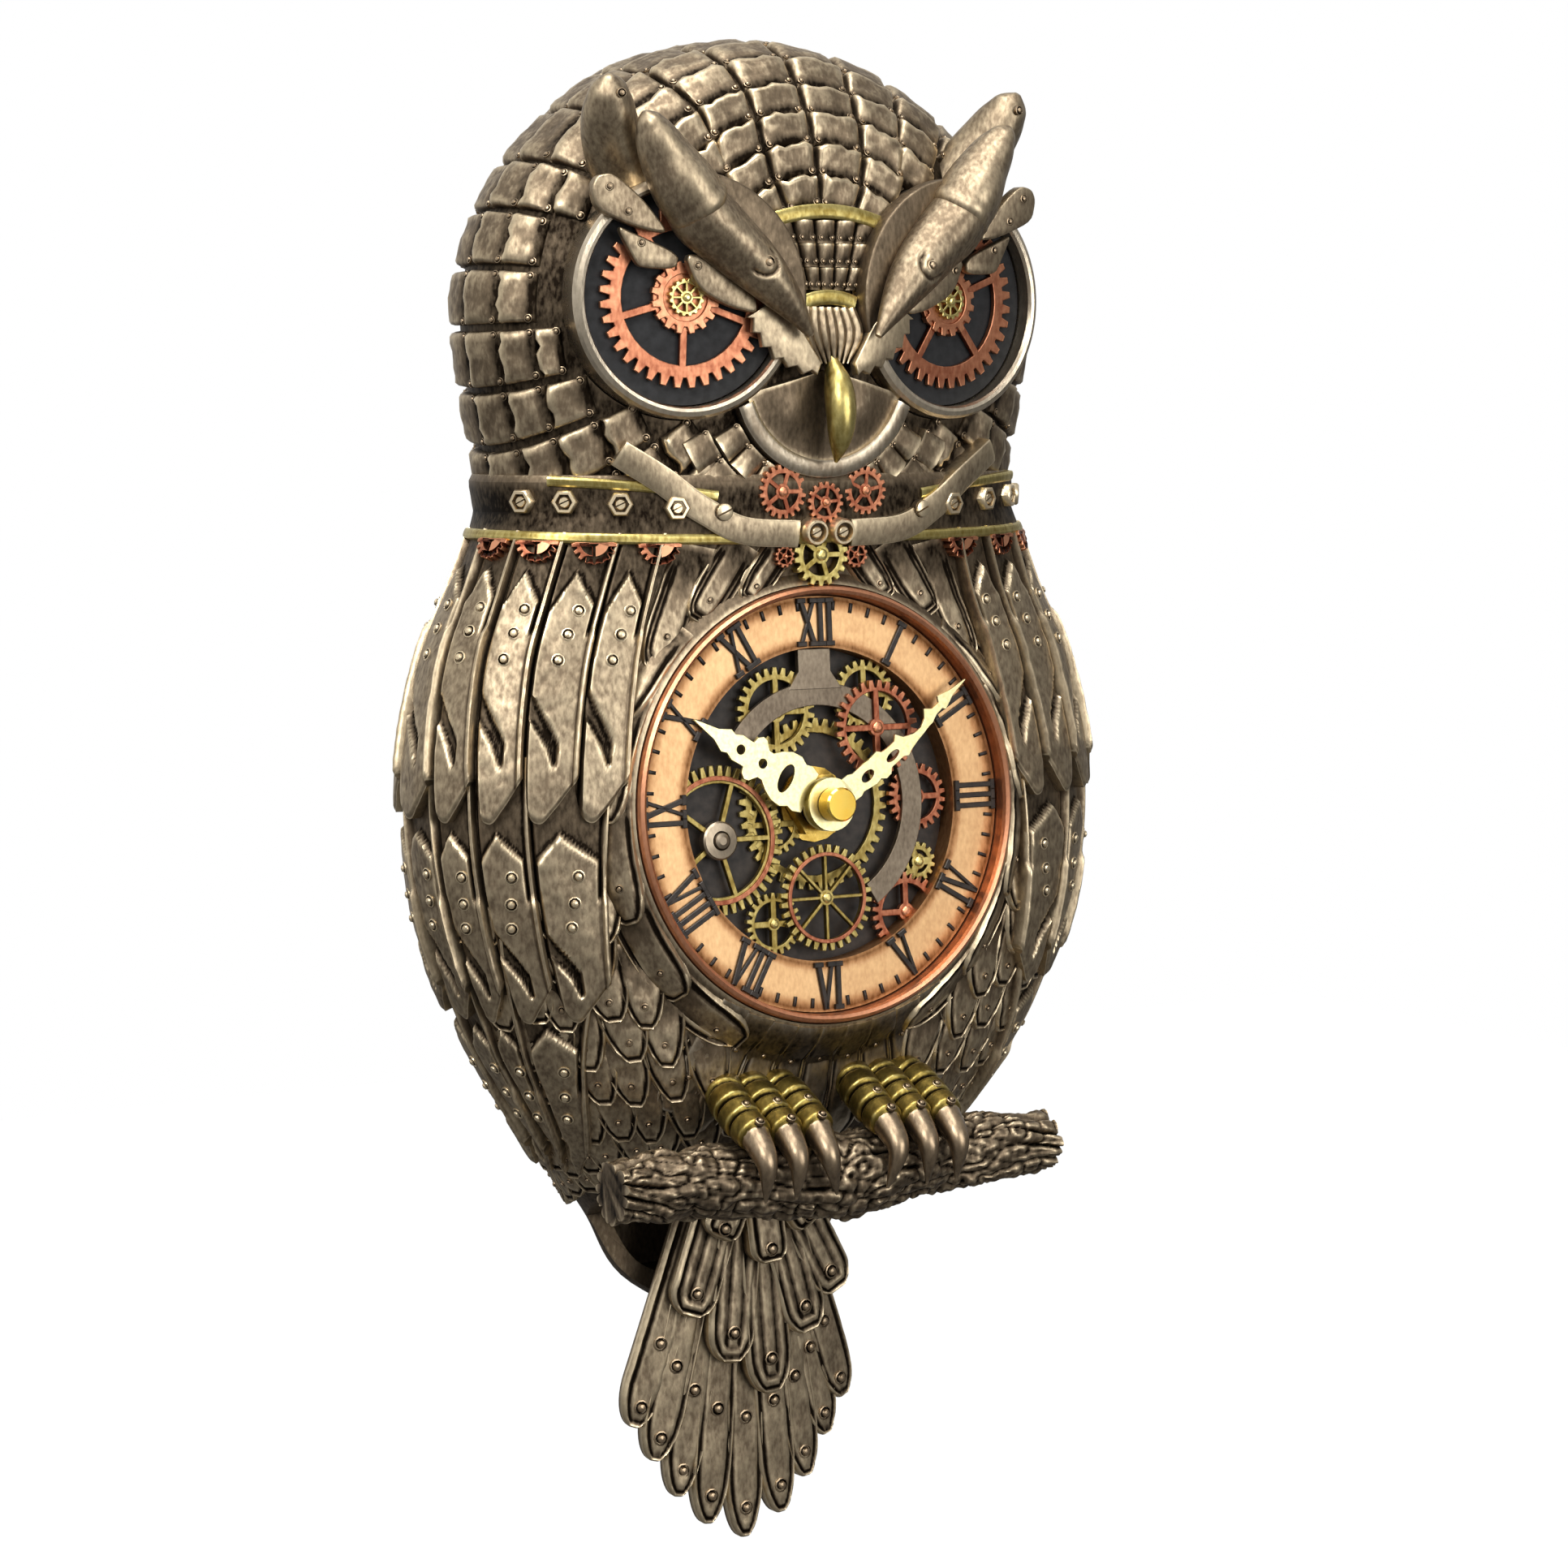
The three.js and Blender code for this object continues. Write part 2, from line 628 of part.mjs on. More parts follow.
const bronze = { color: 0x7a6a50, roughness: 0.45, metalness: 0.85 };
const paleBronze = { color: 0xa8966f, roughness: 0.4, metalness: 0.85 };
const gold = { color: 0xc9a94e, roughness: 0.35, metalness: 0.9 };
const copper = { color: 0xb5674e, roughness: 0.4, metalness: 0.85 };
const champagne = { color: 0xe6d79a, roughness: 0.3, metalness: 0.9 };
const brass = { color: 0xc8a860, roughness: 0.35, metalness: 0.9 };
const blackPaint = { color: 0x26262a, roughness: 0.4, metalness: 0.1 };
const blackPlastic = { color: 0x1c1c1e, roughness: 0.5, metalness: 0 };
const whitePlastic = { color: 0xe4e2da, roughness: 0.5, metalness: 0 };
const steel = { color: 0xb4b6b8, roughness: 0.3, metalness: 1 };
const rubber = { color: 0x202020, roughness: 0.9, metalness: 0 };
const greenBoard = { color: 0x2f6b45, roughness: 0.5, metalness: 0 };
const cellJacket = { color: 0x3b5f8a, roughness: 0.35, metalness: 0.2 };

function piece(name, solid, finish, group = owl) {
  const mesh = new THREE.Mesh(geometryOf(solid), new THREE.MeshStandardMaterial(finish));
  mesh.name = name;
  group.add(mesh);
}

// Dial sizes that follow from the dial plate
const chapterInner = dialRadius - chapterWidth;
const bezelInner = dialRadius + fitGap;
const bezelOuter = bezelInner + bezelWall;
const recessRadius = bezelOuter + fitGap;
const dialBack = -dialThickness;
const seatFront = dialBack - fitGap;
const seatBack = seatFront - seatThickness;
const dialFloor = -dialRecess;
const dialFront = 30;        // well in front of everything on the dial
const recess = placed(disc(recessRadius, seatFront, dialFront, { facets: roundFacets }), clock);
const bushHole = bushRadius + fitGap;

// Eye sizes that follow from the eye disc
const eyeRingInner = eyeDiscRadius + fitGap;
const eyeRingOuter = eyeRingInner + eyeRingWall;
const eyeRingBack = eyeRingProud - eyeRingDepth;
const socketRadius = eyeRingOuter + fitGap;
const socketFloor = eyeRingBack - fitGap;
const ringFront = eyeRingProud + fitGap;
const eyeRound = { facets: roundFacets };
const sockets = eyes.map((eye) => placed(disc(socketRadius, socketFloor, dialFront, eyeRound), eye));
const ringBores = eyes.map((eye) => placed(disc(socketRadius, eyeRingBack, ringFront, eyeRound), eye));

// Head casting, with the hanger's recess and the pocket for the nail's head
const recessHalf = hangerHalfWidth + fitGap;
const hangerRecess = block(-recessHalf, recessHalf, -hangerThickness - fitGap, cutPast,
  hangerBottom - fitGap, hangerTop + fitGap);
const pocketHalf = keyholeRadius + keyPocketMargin;
const nailPocket = block(-pocketHalf, pocketHalf, -keyPocketDepth, cutPast,
  keyholeZ - pocketHalf, keySlotZ + keySlotRadius + keyPocketMargin);
const screwHole = (side) => taperedTube([
  [side * hangerScrewX, cutPast, hangerScrewZ, hangerScrewRadius],
  [side * hangerScrewX, -hangerScrewLength, hangerScrewZ, hangerScrewRadius]], { grow: fitGap, steps: 1 });
const headDepth = Math.max(...headStations.map((s) => s.depth));
const headWall = headDepth - (eyeDepth + socketFloor) + socketBacking;
const headCavity = loft(heights(headCavityTop, seamZ - cutPast, hollowRows)
  .map((z) => section(headForm, z, -headWall, cutPast)));
const hangerCuts = [hangerRecess, nailPocket, screwHole(-1), screwHole(1)];

// Cuts that leave the head's plates: a step at the root of each row and a groove between the columns
const lastLine = plateLines[plateLines.length - 1];
const plateSteps = plateRows.slice(0, -1).map((start, k) => {
  const reach = start < templeAway ? crownLine : lastLine;
  const columns = Math.round((2 * reach) / ringStep);
  const ring = (away, grow) => Array.from({ length: columns + 1 },
    (_, i) => headPoint(reach * ((2 * i) / columns - 1), away, grow));
  const end = plateRows[k + 1];
  const foot = [ring(start, -plateRise), ring(end, fitGap)];
  const clear = [ring(start, 2 * cutPast), ring(end, 2 * cutPast)];
  return patch(foot, clear);
});
const grooveLines = plateLines.flatMap((line) => (line > 0 ? [-line, line] : [line]));
const plateGrooves = grooveLines.map((line) => {
  const stops = plateRows.filter((away) => away > templeAway || Math.abs(line) <= crownLine);
  const sight = new THREE.Vector3(0, 0, sightZ);
  const across = (away, side) => {
    const reach = Math.sin(rad(away)) * headPoint(line, away, 0).distanceTo(sight);
    return line + side * THREE.MathUtils.radToDeg(grooveWidth / 2 / reach);
  };
  const strip = (grows) => stops.map((away) => [-1, 0, 1].map(
    (side, i) => headPoint(across(away, side), away, grows[i])));
  return patch(strip([fitGap, -plateRise, fitGap]), strip([cutPast, cutPast, cutPast]));
});
const plated = cut(headBody(0), ...plateSteps, ...plateGrooves);
piece("head_shell", cut(plated, headCavity, ...sockets, ...hangerCuts), bronze);

// Torso casting: hollow, open behind and under the belly, with a seat for the dial
const torsoCavity = loft(heights(seamZ + cutPast, rumpSolidTop, hollowRows)
  .map((z) => section(torsoForm, z, -castWall, cutPast)));
const wellFront = -2 * torsoWaist - dialFront;
const underBelly = polygon([[wellFront, bellyLipZ], [-bellyLipDepth, bellyLipZ], [-rumpRimDepth, rumpKneeZ],
  [-rumpRimDepth, rumpTipZ - cutPast], [wellFront, rumpTipZ - cutPast]]);
const openingHalf = Math.max(...torsoStations.map((s) => s.halfWidth));
const openingSweep = { depth: 2 * openingHalf, bevelEnabled: false };
const tailOpening = solidOf(new THREE.ExtrudeGeometry(underBelly, openingSweep)
  .translate(0, 0, -openingHalf).rotateY(Math.PI / 2).rotateX(Math.PI / 2));
const seatDisc = disc(recessRadius + seatRim, seatBack, seatFront + seatRim / 2, { facets: roundFacets });
const seat = placed(seatDisc, clock);
const bushBoreCut = placed(disc(bushHole, seatBack - cutPast, seatFront + cutPast), clock);
const hollowTorso = join(cut(torsoBody(0), torsoCavity), seat);
piece("torso_shell", cut(hollowTorso, recess, bushBoreCut, tailOpening), bronze);

// Wings
const torsoRoom = torsoBody(fitGap);
function wingTier(tier, side) {
  const columns = tier.feathers * featherProfile.length;
  const rows = [];
  for (let j = 0; j <= wingRows; j++) {
    const down = j / wingRows;
    const row = [];
    for (let i = 0; i <= columns; i++) {
      const { across, rise, notch } = featherProfile[i % featherProfile.length];
      const share = (Math.floor(i / featherProfile.length) + across) / tier.feathers;
      const low = tier.tip + tier.notch * notch;
      const front = THREE.MathUtils.lerp(tier.frontTop, tier.frontTip, down);
      const turn = side * THREE.MathUtils.lerp(front, wingRearTurn, share);
      const outer = fitGap + THREE.MathUtils.lerp(tier.root, tier.edge, down) + rise;
      row.push([turn, THREE.MathUtils.lerp(tier.top, low, down), -skinUnder, outer]);
    }
    rows.push(row);
  }
  return skin(rows);
}
[-1, 1].forEach((side) => {
  const tiers = wingTiers.map((tier) => wingTier(tier, side));
  piece(`wing_${sideName(side)}`, cut(join(...tiers), torsoRoom, recess), bronze);
});

// Face
const headRoom = headBody(fitGap);
[-1, 1].forEach((side, k) => {
  const brow = join(taperedTube(mirrored(browPath, side)), taperedTube(mirrored(tuftPath, side)));
  piece(`brow_${sideName(side)}`, cut(brow, headRoom, ...ringBores), paleBronze);
  const ring = tube(eyeRingOuter, eyeRingInner, eyeRingBack, eyeRingProud);
  piece(`eye_ring_${sideName(side)}`, ring, paleBronze, eyes[k]);
  const discFront = eyeRingBack + eyeDiscThickness;
  const blackDisc = disc(eyeDiscRadius, eyeRingBack, discFront, eyeRound);
  piece(`eye_disc_${sideName(side)}`, blackDisc, blackPaint, eyes[k]);
  const gearBack = discFront + fitGap;
  const gearFront = gearBack + reliefThickness;
  const rim = toothed(eyeGearTeeth, eyeGearTip * reliefRoot, eyeGearTip);
  const rimInner = eyeGearTip - eyeGearRim;
  rim.holes.push(circle(rimInner));
  let gear = join(plate(rim, gearBack, gearFront), disc(eyeHubRadius, gearBack, gearFront));
  const spokeEnd = (rimInner + eyeGearTip * reliefRoot) / 2;
  for (let i = 0; i < eyeSpokes; i++) {
    const spoke = block(0, spokeEnd, -eyeSpokeWidth / 2, eyeSpokeWidth / 2, gearBack, gearFront);
    gear = gear.add(spoke.rotate([0, 0, (360 / eyeSpokes) * (i + 0.25)]));
  }
  gear = gear.add(disc(pupilRadius, gearBack, gearFront + pupilProud));
  piece(`eye_gear_${sideName(side)}`, gear, copper, eyes[k]);
});

const chinDepth = along(headStations, "depth", chinTopZ) + fitGap;
const chinOutline = new THREE.Shape();
chinOutline.absarc(0, 0, chinRadius, Math.PI, 2 * Math.PI, false);
chinOutline.lineTo(chinRadius, chinTopZ - chinZ);
chinOutline.lineTo(-chinRadius, chinTopZ - chinZ);
const chin = solidOf(new THREE.ExtrudeGeometry(chinOutline, { depth: chinThickness, bevelEnabled: false })
  .rotateX(Math.PI / 2).translate(0, -chinDepth, chinZ));
piece("chin_plate", cut(chin, ...ringBores), bronze);
const chinFront = -chinDepth - chinThickness - fitGap;
const chinRoom = block(-chinRadius, chinRadius, chinFront, 0, chinZ - chinRadius, chinTopZ + fitGap);
piece("beak", cut(taperedTube(beakPath), headRoom, chinRoom), gold);

// Collar band and clasp
function band(halfTurn, columns, rows, zAt, inner, outer) {
  const grid = [];
  for (let j = 0; j <= rows; j++) {
    const row = [];
    for (let i = 0; i <= columns; i++) {
      const turn = THREE.MathUtils.lerp(-halfTurn, halfTurn, i / columns);
      row.push([turn, zAt(turn, j / rows), inner, outer]);
    }
    grid.push(row);
  }
  return skin(grid);
}
const collarOuter = fitGap + collarThickness;
const bandZ = (turn, down) => THREE.MathUtils.lerp(collarTopZ, collarBottomZ, down);
const collar = band(wingRearTurn, collarColumns, collarRows, bandZ, -skinUnder, collarOuter);
piece("collar_band", cut(collar, headRoom, torsoRoom), bronze);
const claspInner = collarOuter + fitGap;
const claspZ = (turn, down) => {
  const share = 1 - Math.abs(turn) / claspTurn;
  const top = THREE.MathUtils.lerp(collarTopZ, collarBottomZ, claspTopShare) - claspDrop * share * share;
  return top - claspHeight * down;
};
const claspOuter = claspInner + claspThickness;
piece("collar_clasp", band(claspTurn, claspColumns, 1, claspZ, claspInner, claspOuter), paleBronze);
const throatDepth = along(torsoStations, "depth", collarBottomZ) + fitGap;
const throatRoom = collarBottomZ - (dialZ + bezelOuter);
const throatGearRadius = throatRoom / 2 - throatGearClear;
const throatGearZ = collarBottomZ - throatRoom / 2;
const throatShape = toothed(throatGearTeeth, throatGearRadius * reliefRoot, throatGearRadius);
piece("throat_gear", solidOf(geometryOf(plate(throatShape, 0, reliefThickness))
  .rotateX(Math.PI / 2).translate(0, -throatDepth, throatGearZ)), gold);

// Dial
piece("dial_bezel", tube(bezelOuter, bezelInner, dialBack, bezelProud), copper, clock);
const dialProfile = [[bushHole, dialFloor], [chapterInner, dialFloor], [chapterInner, 0], [dialRadius, 0],
  [dialRadius, dialBack], [bushHole, dialBack]];
piece("dial_plate", turned(dialProfile), brass, clock);
const well = disc(chapterInner - fitGap, dialFloor, dialFront, { facets: roundFacets });

const clockAngle = (degrees) => Math.PI / 2 - rad(degrees);
const arc = new THREE.Shape();
arc.absarc(0, 0, bridgeOuter, clockAngle(bridgeFrom), clockAngle(bridgeTo), true);
arc.absarc(0, 0, bridgeInner, clockAngle(bridgeTo), clockAngle(bridgeFrom), false);
const reliefBack = dialFloor + fitGap;
const ringGearFront = reliefBack + ringGearThickness;
const bridgeBack = ringGearFront + 2 * fitGap;
const bridgeFront = bridgeBack + reliefThickness;
const bridgeMiddle = (bridgeInner + bridgeOuter) / 2;
const stem = block(-bridgeStem / 2, bridgeStem / 2, bridgeMiddle, chapterInner, bridgeBack, bridgeFront);
piece("dial_bridge", join(plate(arc, bridgeBack, bridgeFront), stem).intersect(well), paleBronze, clock);

const ringShape = toothed(ringGearTeeth, ringGearTip * reliefRoot, ringGearTip);
ringShape.holes.push(circle(ringGearTip - ringGearRim));
piece("dial_ring_gear", plate(ringShape, reliefBack, ringGearFront), gold, clock);

// The first layer of gears lies beside the bridge and the second over it, on posts where no bridge is below
function dialGear({ x, y, tip, teeth, spokes, layer }) {
  const back = bridgeBack + (layer - 1) * (reliefThickness + fitGap);
  const front = back + reliefThickness;
  const outline = toothed(teeth, tip * reliefRoot, tip);
  const rimInner = tip * gearRimShare;
  const hub = tip * gearHubShare;
  if (spokes > 0) outline.holes.push(circle(rimInner));
  let gear = plate(outline, back, front).add(disc(hub, back, front));
  const spokeEnd = tip * (gearRimShare + reliefRoot) / 2;
  for (let i = 0; i < spokes; i++) {
    const spoke = block(0, spokeEnd, -gearSpokeHalf, gearSpokeHalf, back, front);
    gear = gear.add(spoke.rotate([0, 0, (360 / spokes) * (i + 0.3)]));
  }
  const fromCentre = Math.hypot(x, y);
  const turn = THREE.MathUtils.radToDeg(Math.atan2(x, y));
  const inArc = turn > bridgeFrom && turn < bridgeTo;
  const overBridge = inArc && fromCentre > bridgeInner && fromCentre < bridgeOuter;
  if (!overBridge) gear = gear.add(disc(tip * gearPostShare, reliefBack, front, { facets: pinFacets }));
  return gear.translate([x, y, 0]).intersect(well);
}
const reliefFinish = { copper, gold };
dialGears.forEach((entry) => piece(entry.name, dialGear(entry), reliefFinish[entry.finish], clock));

// Fixing nut, washer and gasket hold the movement through the seat
const washerFront = reliefBack + washerThickness;
piece("dial_washer", tube(washerRadius, bushHole, reliefBack, washerFront, discFacets), brass, clock);
const nutBack = washerFront + fitGap;
const nutShape = polygon(Array.from({ length: 6 }, (_, i) => {
  const r = nutAcrossFlats / 2 / Math.cos(Math.PI / 6);
  return [r * Math.cos((i * Math.PI) / 3), r * Math.sin((i * Math.PI) / 3)];
}));
nutShape.holes.push(circle(bushHole));
piece("fixing_nut", plate(nutShape, nutBack, nutBack + nutThickness), brass, clock);
const gasketFront = seatBack - fitGap;
const gasketBack = gasketFront - gasketThickness;
piece("gasket", tube(gasketRadius, bushHole, gasketBack, gasketFront, discFacets), rubber, clock);

// Places of the wheels, seen from the front
const centre = new THREE.Vector2(0, 0);
const apart = (pair) => (pair.module * (pair.pinion + pair.wheel)) / 2 + meshSlack;
const tipRadius = (teeth, module) => module * (teeth / 2 + addendum);
const from = (start, angle, distance) =>
  new THREE.Vector2(start.x + distance * Math.cos(rad(angle)), start.y + distance * Math.sin(rad(angle)));
const minuteAt = from(centre, minuteWheelAngle, apart(cannonPair));
const knobAt = from(minuteAt, knobAngle, apart(cannonPair));
const thirdAt = from(centre, thirdAngle, apart(thirdPair));
const secondAt = from(thirdAt, secondAngle, apart(secondPair));
const intermediateAt = from(secondAt, intermediateAngle, apart(intermediatePair));
const rotorAt = from(intermediateAt, rotorAngle, apart(rotorPair));

// Levels of the wheels' front faces, back from the inside of the case front
const caseFront = gasketBack - fitGap;
const insideFront = caseFront - caseWall;
const pinionLip = (pinionLength - wheelThickness) / 2;
const wheelPitch = pinionLength + wheelGap;
const hourLevel = insideFront - endPlay - pinionLip;
const intermediateLevel = hourLevel;
const motionLevel = hourLevel - wheelPitch;
const secondLevel = intermediateLevel - wheelPitch;
const statorLevel = secondLevel - wheelPitch;
const thirdLevel = secondLevel - 1.5 * wheelPitch;
const centreLevel = thirdLevel - wheelPitch;

// Movement case: as deep as the train and the cell need, as wide as the cell, as high as the pendulum's pivot
const trainDepth = insideFront - centreLevel + pinionLength + endPlay;
const caseRim = insideFront - Math.max(trainDepth, 2 * batteryRadius + 2 * fitGap);
const statorLeft = rotorAt.x + statorShift - statorWidth / 2;
const statorRight = statorLeft + statorWidth;
const statorBottom = rotorAt.y - statorBelow;
const statorTop = statorBottom + statorHeight;
const thirdLeft = thirdAt.x - tipRadius(secondPair.wheel, secondPair.module);
const knobRight = knobAt.x + tipRadius(cannonPair.pinion, cannonPair.module);
const trainHalf = Math.max(-statorLeft, -thirdLeft, knobRight) + endPlay;
const insideHalf = Math.max(batteryLength / 2 + contactRoom, trainHalf);
const caseHalf = insideHalf + caseWall;
const batteryY = -tipRadius(thirdPair.wheel, thirdPair.module) - batteryClear - batteryRadius;
const insideBottom = batteryY - batteryRadius - fitGap;
const caseBottom = insideBottom - caseWall;
const caseTop = Math.max(pivotHeight, statorTop) + caseMargin;
const coverFront = caseRim - fitGap;
const coverBack = coverFront - caseWall;
const shaftEnd = coverFront + fitGap;

const posts = [statorLeft + statorLeg / 2, statorRight - statorLeg / 2].map((x) =>
  disc(postRadius, statorLevel + fitGap, insideFront + caseWall / 2, { x, y: rotorAt.y, facets: pinFacets }));
const shell = cut(
  block(-caseHalf, caseHalf, caseBottom, caseTop, caseRim, caseFront),
  block(-insideHalf, insideHalf, insideBottom, caseTop - caseWall, caseRim - cutPast, insideFront));
const bush = disc(bushRadius, caseFront - caseWall / 2, bushEnd);
const boredCase = cut(join(shell, bush, ...posts), disc(bushBore, insideFront - cutPast, 0));
piece("movement_case", boredCase, blackPlastic, clock);

const bayHalfHeight = batteryRadius - bayLip;
const bayHalf = batteryLength / 2;
const leverFront = coverBack - fitGap;
const leverBack = leverFront - leverThickness;
const pinHeadFront = leverBack - fitGap;
const pinHeadBack = pinHeadFront - pinHeadThickness;
const throughCover = [coverBack - cutPast, coverFront + cutPast];
const coverPlate = cut(
  block(-caseHalf, caseHalf, caseBottom, caseTop, coverBack, coverFront),
  block(-bayHalf, bayHalf, batteryY - bayHalfHeight, batteryY + bayHalfHeight, ...throughCover),
  disc(knobShaft + fitGap, ...throughCover, knobAt));
const pin = join(
  disc(pendulumPin, (pinHeadFront + pinHeadBack) / 2, (coverFront + coverBack) / 2, { y: pivotHeight }),
  disc(pendulumPin + pinHeadLip, pinHeadBack, pinHeadFront, { y: pivotHeight }));
piece("movement_cover", join(coverPlate, pin), blackPlastic, clock);

// Battery, its contacts, the board and the coils
const alongX = (solid) => solid.rotate([0, 90, 0]);
const cellMiddle = (caseRim + insideFront) / 2;
const cellBody = disc(batteryRadius, -batteryLength / 2, batteryLength / 2 - batteryNubLength);
const cellNub = disc(batteryNubRadius, 0, batteryLength / 2);
piece("battery", alongX(join(cellBody, cellNub)).translate([0, batteryY, cellMiddle]), cellJacket, clock);
const contactWall = insideHalf - fitGap;
const contactTouch = batteryLength / 2 + fitGap;
const contactShape = polygon([
  [contactWall - contactThickness, contactHalfHeight], [contactTouch, 0],
  [contactWall - contactThickness, -contactHalfHeight], [contactWall, -contactHalfHeight],
  [contactTouch + contactThickness, 0], [contactWall, contactHalfHeight]]);
const contact = plate(contactShape, cellMiddle - contactWidth / 2, cellMiddle + contactWidth / 2)
  .translate([0, batteryY, 0]);
piece("contact_positive", contact, steel, clock);
piece("contact_negative", contact.mirror([1, 0, 0]), steel, clock);
const boardFront = insideFront - fitGap;
const boardRight = insideHalf - contactRoom;
const boardTop = caseTop - caseMargin;
piece("circuit_board", block(boardRight - boardWidth, boardRight, boardTop - boardHeight, boardTop,
  boardFront - boardThickness, boardFront), greenBoard, clock);
const yokeTop = statorBottom + statorYoke;
const statorShape = polygon([
  [statorLeft, statorBottom], [statorRight, statorBottom], [statorRight, statorTop],
  [statorRight - statorLeg, statorTop], [statorRight - statorLeg, yokeTop],
  [statorLeft + statorLeg, yokeTop], [statorLeft + statorLeg, statorTop], [statorLeft, statorTop]]);
statorShape.holes.push(circle(rotorRadius + fitGap, rotorAt.x, rotorAt.y));
piece("stator", plate(statorShape, statorLevel - statorThickness, statorLevel), steel, clock);
const coilHalf = statorWidth / 2 - statorLeg - fitGap;
piece("step_coil", alongX(disc(stepCoilRadius, -coilHalf, coilHalf))
  .translate([(statorLeft + statorRight) / 2, statorTop - stepCoilRadius, statorLevel - statorThickness / 2]),
copper, clock);
const driveCoilBack = coverFront + fitGap;
const driveCoilFront = driveCoilBack + driveCoilLength;
const driveCoil = tube(driveCoilRadius, driveCoilBore, driveCoilBack, driveCoilFront, discFacets);
piece("drive_coil", driveCoil.translate([0, magnetHeight, 0]), copper, clock);

// Motion work
const cannonTurn = rad(minuteWheelAngle);
const minuteWheelTurn = meshTurn(cannonTurn, cannonPair.pinion, cannonPair.wheel, rad(minuteWheelAngle));
const knobTurn = meshTurn(minuteWheelTurn, cannonPair.wheel, cannonPair.pinion, rad(knobAngle));
const hourPinionTurn = rad(minuteWheelAngle) + Math.PI;
const hourWheelTurn = meshTurn(hourPinionTurn, hourPair.pinion, hourPair.wheel, hourPinionTurn);
const wheel = (teeth, module, turn, front) =>
  plate(trainGear(teeth, module, turn), front - wheelThickness, front);
const pinion = (teeth, module, turn, wheelFront) =>
  plate(trainGear(teeth, module, turn), wheelFront + pinionLip - pinionLength, wheelFront + pinionLip);
const arbor = (end = shaftEnd) => disc(pivotRadius, end, insideFront - fitGap, { facets: pinFacets });
const at = (solid, place) => solid.translate([place.x, place.y, 0]);

const minuteHandFront = minuteHandZ + handThickness;
const capBack = minuteHandFront + fitGap;
const arborEnd = capBack + capLength - capSkin;
piece("minute_arbor", join(
  disc(arborRadius, shaftEnd, arborEnd),
  pinion(cannonPair.pinion, cannonPair.module, cannonTurn, motionLevel)), steel, clock);
const pipeBore = arborRadius + fitGap;
const pipeEnd = hourHandZ + handThickness + fitGap;
const hourWheel = join(
  wheel(hourPair.wheel, hourPair.module, hourWheelTurn, hourLevel),
  disc(hourPipeRadius, hourLevel - wheelThickness, pipeEnd));
piece("hour_wheel", cut(hourWheel, disc(pipeBore, hourLevel - cutPast, pipeEnd + cutPast)), brass, clock);
piece("minute_wheel", at(join(
  wheel(cannonPair.wheel, cannonPair.module, minuteWheelTurn, motionLevel),
  pinion(hourPair.pinion, hourPair.module, hourPinionTurn, hourLevel),
  arbor(motionLevel - 2 * wheelThickness)), minuteAt), whitePlastic, clock);
const knobFront = leverFront;
const knobShape = toothed(knobTeeth, knobRadius - knobKnurl, knobRadius);
piece("setting_knob", at(join(
  pinion(cannonPair.pinion, cannonPair.module, knobTurn, motionLevel),
  disc(knobShaft, knobFront - knobLength / 2, insideFront - fitGap),
  plate(knobShape, knobFront - knobLength, knobFront)), knobAt), whitePlastic, clock);

// Going train, from the rotor to the centre wheel that drives the arbor through a friction clutch
const centreTurn = rad(thirdAngle);
const thirdPinionTurn = meshTurn(centreTurn, thirdPair.wheel, thirdPair.pinion, rad(thirdAngle));
const thirdTurn = rad(secondAngle);
const secondPinionTurn = meshTurn(thirdTurn, secondPair.wheel, secondPair.pinion, rad(secondAngle));
const secondTurn = rad(intermediateAngle);
const intermediatePinionTurn =
  meshTurn(secondTurn, intermediatePair.wheel, intermediatePair.pinion, rad(intermediateAngle));
const intermediateTurn = rad(rotorAngle);
const rotorPinionTurn = meshTurn(intermediateTurn, rotorPair.wheel, rotorPair.pinion, rad(rotorAngle));
piece("centre_wheel", cut(
  join(wheel(thirdPair.wheel, thirdPair.module, centreTurn, centreLevel),
    disc(frictionHub, shaftEnd + fitGap, centreLevel)),
  disc(arborRadius + fitGap, shaftEnd - cutPast, centreLevel + cutPast)), brass, clock);
piece("third_wheel", at(join(
  wheel(secondPair.wheel, secondPair.module, thirdTurn, thirdLevel),
  pinion(thirdPair.pinion, thirdPair.module, thirdPinionTurn, centreLevel),
  arbor()), thirdAt), whitePlastic, clock);
piece("second_wheel", at(join(
  wheel(intermediatePair.wheel, intermediatePair.module, secondTurn, secondLevel),
  pinion(secondPair.pinion, secondPair.module, secondPinionTurn, thirdLevel),
  arbor()), secondAt), whitePlastic, clock);
piece("intermediate_wheel", at(join(
  wheel(rotorPair.wheel, rotorPair.module, intermediateTurn, intermediateLevel),
  pinion(intermediatePair.pinion, intermediatePair.module, intermediatePinionTurn, secondLevel),
  arbor()), intermediateAt), whitePlastic, clock);
piece("rotor", at(join(
  pinion(rotorPair.pinion, rotorPair.module, rotorPinionTurn, intermediateLevel),
  disc(rotorRadius, statorLevel - statorThickness - rotorProud, statorLevel + rotorProud),
  arbor()), rotorAt), steel, clock);

